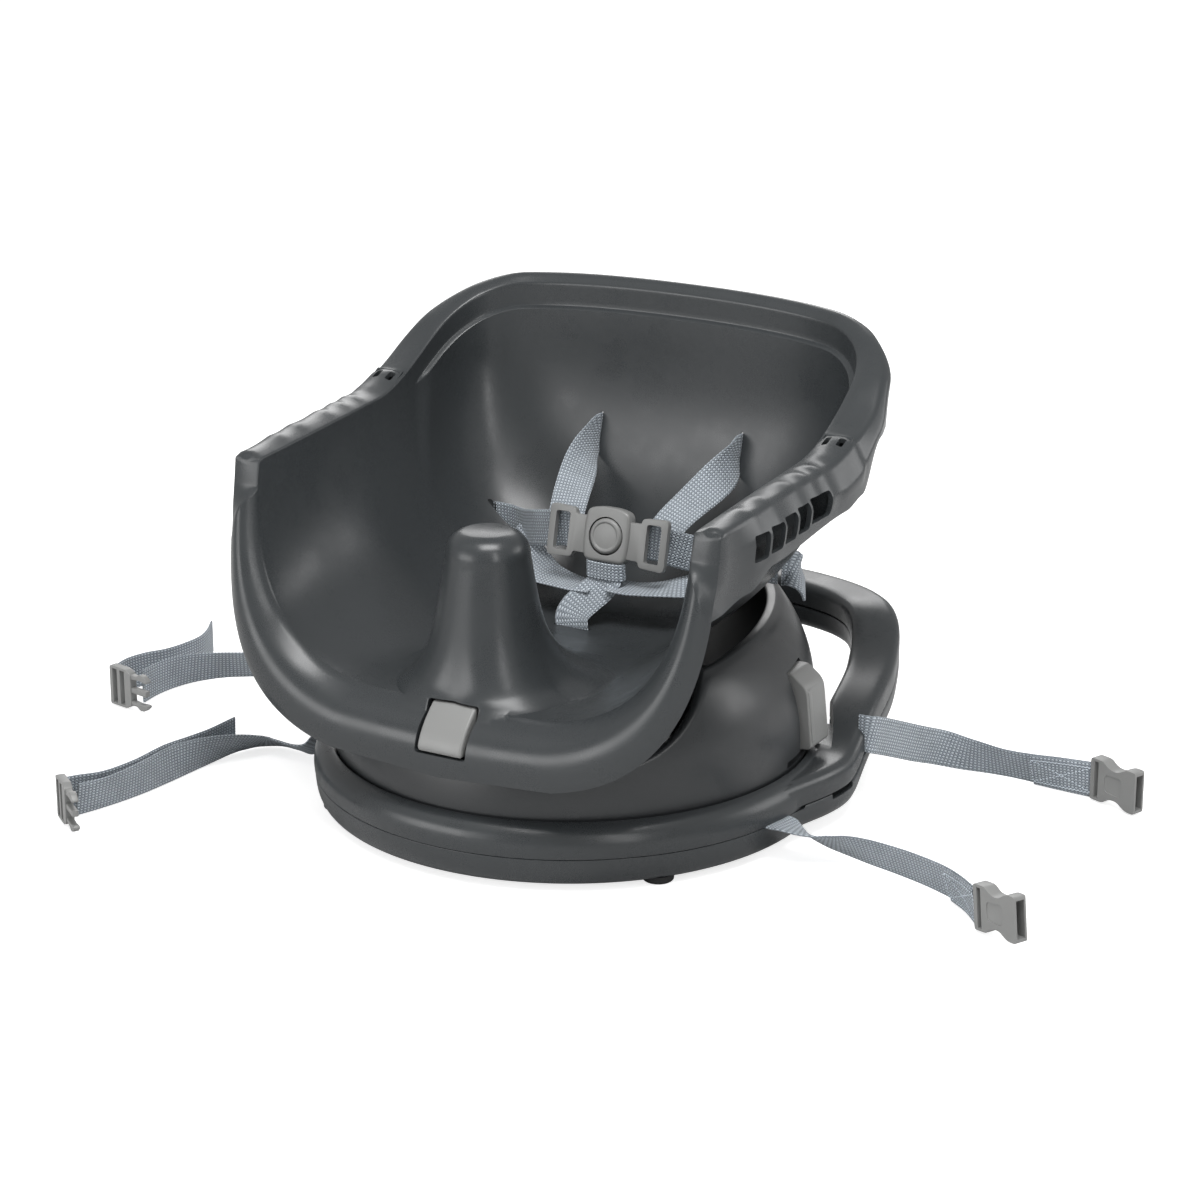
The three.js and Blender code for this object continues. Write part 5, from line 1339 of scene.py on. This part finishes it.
class BOOSTER_OT_levers(BoosterOperator, bpy.types.Operator):
    """The two side levers, each with a ridge down its outer edge and a pocket for its rod"""
    bl_idname = "booster.levers"
    bl_label = "Side levers"

    pin, pin_bore = (136, 52), 2.58

    def lever(self, side, name):
        def outer(z):
            """The pod's half width beside the lever."""
            return pod_point(math.atan2(44, 150), z, 0)[0]

        def turn(a, b, c):
            return (side * a, c, b)

        low, high, top = outer(46), outer(87), outer(99)
        grip = outline_of([
            (130, 47, 2), (140, 46, 2), (low + 8, 49, 2), (low + 10, 51, 2), (high + 10, 90, 5),
            (top + 3, 99, 2.4), (top - 6, 99, 2), (top - 6, 83, 2), (130, 79, 2), (130, 76, 1)], 5)
        ridge = outline_of([
            (low + 4, 53, 1), (low + 10.6, 53, 2.4), (high + 10.6, 89.5, 4), (high + 4, 89.5, 1)], 5)
        piece = new_object(f"lever_{name}_grip", plates(turn, (grip, 31, 57, 1.7, 4)))
        carve(piece, plates(turn, (ridge, 32.4, 36.6, 0.6)), "UNION")

        def cuts(bm):
            block(bm, (side * 126, side * 137), (34.5, 45.5), (68, 94), 0.3)
            plate(bm, circle(self.pin_bore, 32, self.pin), -10, 90, turn)

        carve(piece, cuts)
        finish(piece, f"lever_{name}", "pale", (f"lever_{name}",), crease=36)

    def execute(self, context):
        for side, name in SIDES:
            self.lever(side, name)
        return {"FINISHED"}


class BOOSTER_OT_release(BoosterOperator, bpy.types.Operator):
    """The recline button at the front of the flange"""
    bl_idname = "booster.release"
    bl_label = "Recline button"

    def execute(self, context):
        y, z, steps = -149.4, 110.6, 12
        face = [(-140, 109, 0), (-146, 110.8, 2.5), (y, z, 1.0)]
        for i in range(1, steps + 1):
            t = i / steps
            face.append((y - 19 * (1 - (1 - t) ** 1.6), z - 25 * t, 1.2 if i == steps else 0))
        face += [(-167, 83.4, 1.2), (-150, 83.4, 0), (-140, 87.2, 0)]
        piece = new_object("press_button", plates(along_x, (outline_of(face), -13.7, 18, 1.8, 4)))
        finish(piece, "release", "pale", ("recline_button",), crease=30)
        return {"FINISHED"}


# Harness

HUB = (2.4, 46, 166)
HUB_LEAN = math.radians(13)


def leaned(x, y, z):
    """A point of the buckle with the buckle's backward lean."""
    b, c = z - HUB[2], y - HUB[1]
    return (x, HUB[1] + c * math.cos(HUB_LEAN) + b * math.sin(HUB_LEAN),
            HUB[2] + b * math.cos(HUB_LEAN) - c * math.sin(HUB_LEAN))


class BOOSTER_OT_harness(BoosterOperator, bpy.types.Operator):
    """Shoulder, waist and crotch webbing, with the buckle, its push button and its tongues"""
    bl_idname = "booster.harness"
    bl_label = "Harness"

    def webbing(self):
        for x, name in SIDES:
            web(f"shoulder_web_{name}", [
                (x * 54, 136.5, 208.5, 0, .36, .93), (x * 54, 131, 209.5, *UP),
                (x * 54.3, 124, 206, -.12, 0, 1),
                (x * 53.5, 114, 201, -.4, 0, .9), (x * 50.5, 101, 194.5, -.75, 0, .66),
                (x * 45.5, 84, 186.5, -.93, 0, .36), (x * 40.5, 68, 178.5, -.98, 0, .2),
                (x * 37, 57, 171, -.99, 0, .1)], "seat", (f"shoulder_strap_{name}",))
            web(f"waist_web_{name}", [
                (x * 108, 84.6, 150.5, *UP), (x * 97, 83.6, 150.7, *UP), (x * 87.4, 79.6, 151, *UP),
                (x * 77, 71.5, 153, *UP), (x * 63, 60, 158, *UP), (x * 47, 52.2, 162.5, *UP),
                (x * 37, 50.6, 164.5, *UP), (x * 29, 49.9, 165, *UP)], "seat", (f"waist_strap_{name}",))
            web(f"waist_end_{name}", [
                (x * 110, 86, 150, *UP), (x * 114.5, 89, 149.5, x * -.1, 0, 1),
                (x * 117.5, 91.5, 146, x * -.3, .4, .8), (x * 119.5, 95, 140, x * -.45, .7, .55),
                (x * 120.5, 98.5, 133, x * -.45, .8, .45)],
                "seat", (f"waist_strap_tail_{name}",), thick=2.2)
        web("lower_web_left", [
            (-90, 74, 145, 0, .6, .8), (-70, 60, 138.5, 0, .8, .6), (-48, 46, 133, 0, .95, .3),
            (-32, 42.5, 131, 0, 1, .1), (-18, 41.5, 130, 0, 1, .03), (-4, 41, 130.5, 0, 1, 0)], "seat")
        web("lower_web_right", [
            (8, 41, 133.5, 0, 1, 0), (22, 41.5, 133.5, 0, 1, .03), (34, 42.5, 134.8, 0, 1, .08),
            (48, 45.5, 137, 0, .97, .2), (64, 53, 139.5, 0, .9, .4), (77, 63, 142, 0, .75, .65),
            (90, 74, 145, 0, .6, .8)], "seat")
        web("crotch_web", [
            (-10, 18, 105, 1, 0, 0), (-10.5, 18, 110.5, 1, -.03, -.05),
            (-11.5, 19.5, 115, .92, -.17, -.3),
            (-10, 23.5, 120.3, .84, -.28, -.45), (-4.5, 30, 127, .84, -.28, -.45),
            (1, 35.8, 133, .9, -.2, -.32), (3.5, 39.5, 139.5, .98, -.08, -.1), (3.5, 41.5, 146, 1, 0, 0),
            (3.5, 43, 152, 1, 0, 0)], "seat", ("crotch_strap",))
        web("crotch_loop", [
            (-10.6, 41.5, 144.6, *UP), (-9.8, 38.3, 144.2, *UP), (-5, 37.2, 144, *UP),
            (3, 36.8, 143.9, *UP), (11, 37.2, 144, *UP), (15.8, 38.3, 144.2, *UP),
            (16.6, 41.5, 144.6, *UP)],
            "seat", width=11.5, step=1.2)

    frame = ((14, 152.5, 0.5), (24.5, 152.5, 1.5), (25.6, 148.5, 3), (43, 147.5, 3), (44.5, 150, 2),
             (44.5, 180, 2), (43, 182.5, 3), (25.6, 181.5, 3), (24.5, 177.5, 1.5), (14, 177.5, 0.5))
    housing = ((-15.5, -17.5, 5), (15.5, -17.5, 5), (17, -6, 4), (17, 10, 4), (15.5, 17, 4), (7, 19.2, 4),
               (-7, 19.2, 4), (-15.5, 17, 4), (-17, 10, 4), (-17, -6, 4))
    button = ((0, 0, 0), (11.9, 0, 0.5), (11.9, 5.4, 0.8), (10.6, 6.8, 0.8), (9.2, 6.8, 0.5),
              (8.6, 6.2, 0.5), (0, 7.4, 0))
    pocket_radius = 12.8

    def tongue(self, side, name):
        def turn(a, b, c):
            return leaned(HUB[0] + side * a, c, b)

        window = rounded(oblong((29, 39.8), (152, 178)), 2)
        piece = new_object(f"tongue_{name}", plates(turn, (outline_of(self.frame), 42.4, 47, 1.1, 3)))
        carve(piece, plates(turn, (window, 38, 54)))
        finish(piece, "seat", "pale", (f"harness_tongue_{name}",), crease=36)

    def hub(self):
        x, y, z = HUB

        def turn(a, b, c):
            return leaned(x + a, c, z + b)

        piece = new_object("buckle_hub", plates(turn, (outline_of(self.housing, 5), 40.6, 51, 2.4, 5)))
        carve(piece, plates(turn, (circle(self.pocket_radius, 64), 26, 50.3)))
        finish(piece, "seat", "pale", ("harness_buckle",), crease=36)

        def button(bm):
            turned(bm, outline_of(self.button), 96, (0, -SHIFT / MM))
            lean = Matrix.Rotation(math.radians(90) - HUB_LEAN, 3, "X")
            bmesh.ops.rotate(bm, cent=(0, 0, 0), matrix=lean, verts=bm.verts)
            bmesh.ops.translate(bm, vec=at(x, y + 0.2, z), verts=bm.verts)

        finish(new_object("push_button", button), "buckle_button", "pale", ("harness_button",), crease=36)

    def execute(self, context):
        self.webbing()
        for side, name in SIDES:
            self.tongue(side, name)
        self.hub()
        return {"FINISHED"}


class BOOSTER_OT_fittings(BoosterOperator, bpy.types.Operator):
    """Finishes of the pieces that are shown as packed: turntable, column, rack, rods and pins"""
    bl_idname = "booster.fittings"
    bl_label = "Inner fittings"

    def execute(self, context):
        slots = {part["node"]: part["material_slot"] for part in frame["record"]["subparts"]}
        for name, piece in frame["nodes"].items():
            material = finish_of(slots[name])
            if piece.material_slots:
                for place in piece.material_slots:
                    place.material = material
            else:
                piece.data.materials.append(material)
        return {"FINISHED"}


PIECES = (BOOSTER_OT_stage, BOOSTER_OT_chair_straps, BOOSTER_OT_seat, BOOSTER_OT_pod, BOOSTER_OT_base,
          BOOSTER_OT_levers, BOOSTER_OT_release, BOOSTER_OT_harness, BOOSTER_OT_fittings)


class BOOSTER_PT_panel(bpy.types.Panel):
    """Sizes, finishes and the pieces that can be built"""
    bl_idname = "BOOSTER_PT_panel"
    bl_label = "Chair booster seat"
    bl_space_type = "VIEW_3D"
    bl_region_type = "UI"
    bl_category = "Booster"

    def draw(self, context):
        column = self.layout.column()
        for group in (context.scene.booster_sizes, context.scene.booster_finishes):
            for name in group.bl_rna.properties.keys():
                if name not in ("rna_type", "name"):
                    column.prop(group, name)
        for operator in PIECES:
            column.operator(operator.bl_idname)


CLASSES = (BoosterFinishes, BoosterSizes, *PIECES, BOOSTER_PT_panel)


def register():
    for cls in CLASSES:
        bpy.utils.register_class(cls)
    bpy.types.Scene.booster_finishes = PointerProperty(type=BoosterFinishes)
    bpy.types.Scene.booster_sizes = PointerProperty(type=BoosterSizes)


def unregister():
    del bpy.types.Scene.booster_finishes
    del bpy.types.Scene.booster_sizes
    for cls in reversed(CLASSES):
        bpy.utils.unregister_class(cls)


def main():
    register()
    for operator in PIECES:
        family, call = operator.bl_idname.split(".")
        if getattr(getattr(bpy.ops, family), call)() != {"FINISHED"}:
            raise RuntimeError(f"{operator.bl_label} could not be built")


if __name__ == "__main__":
    main()
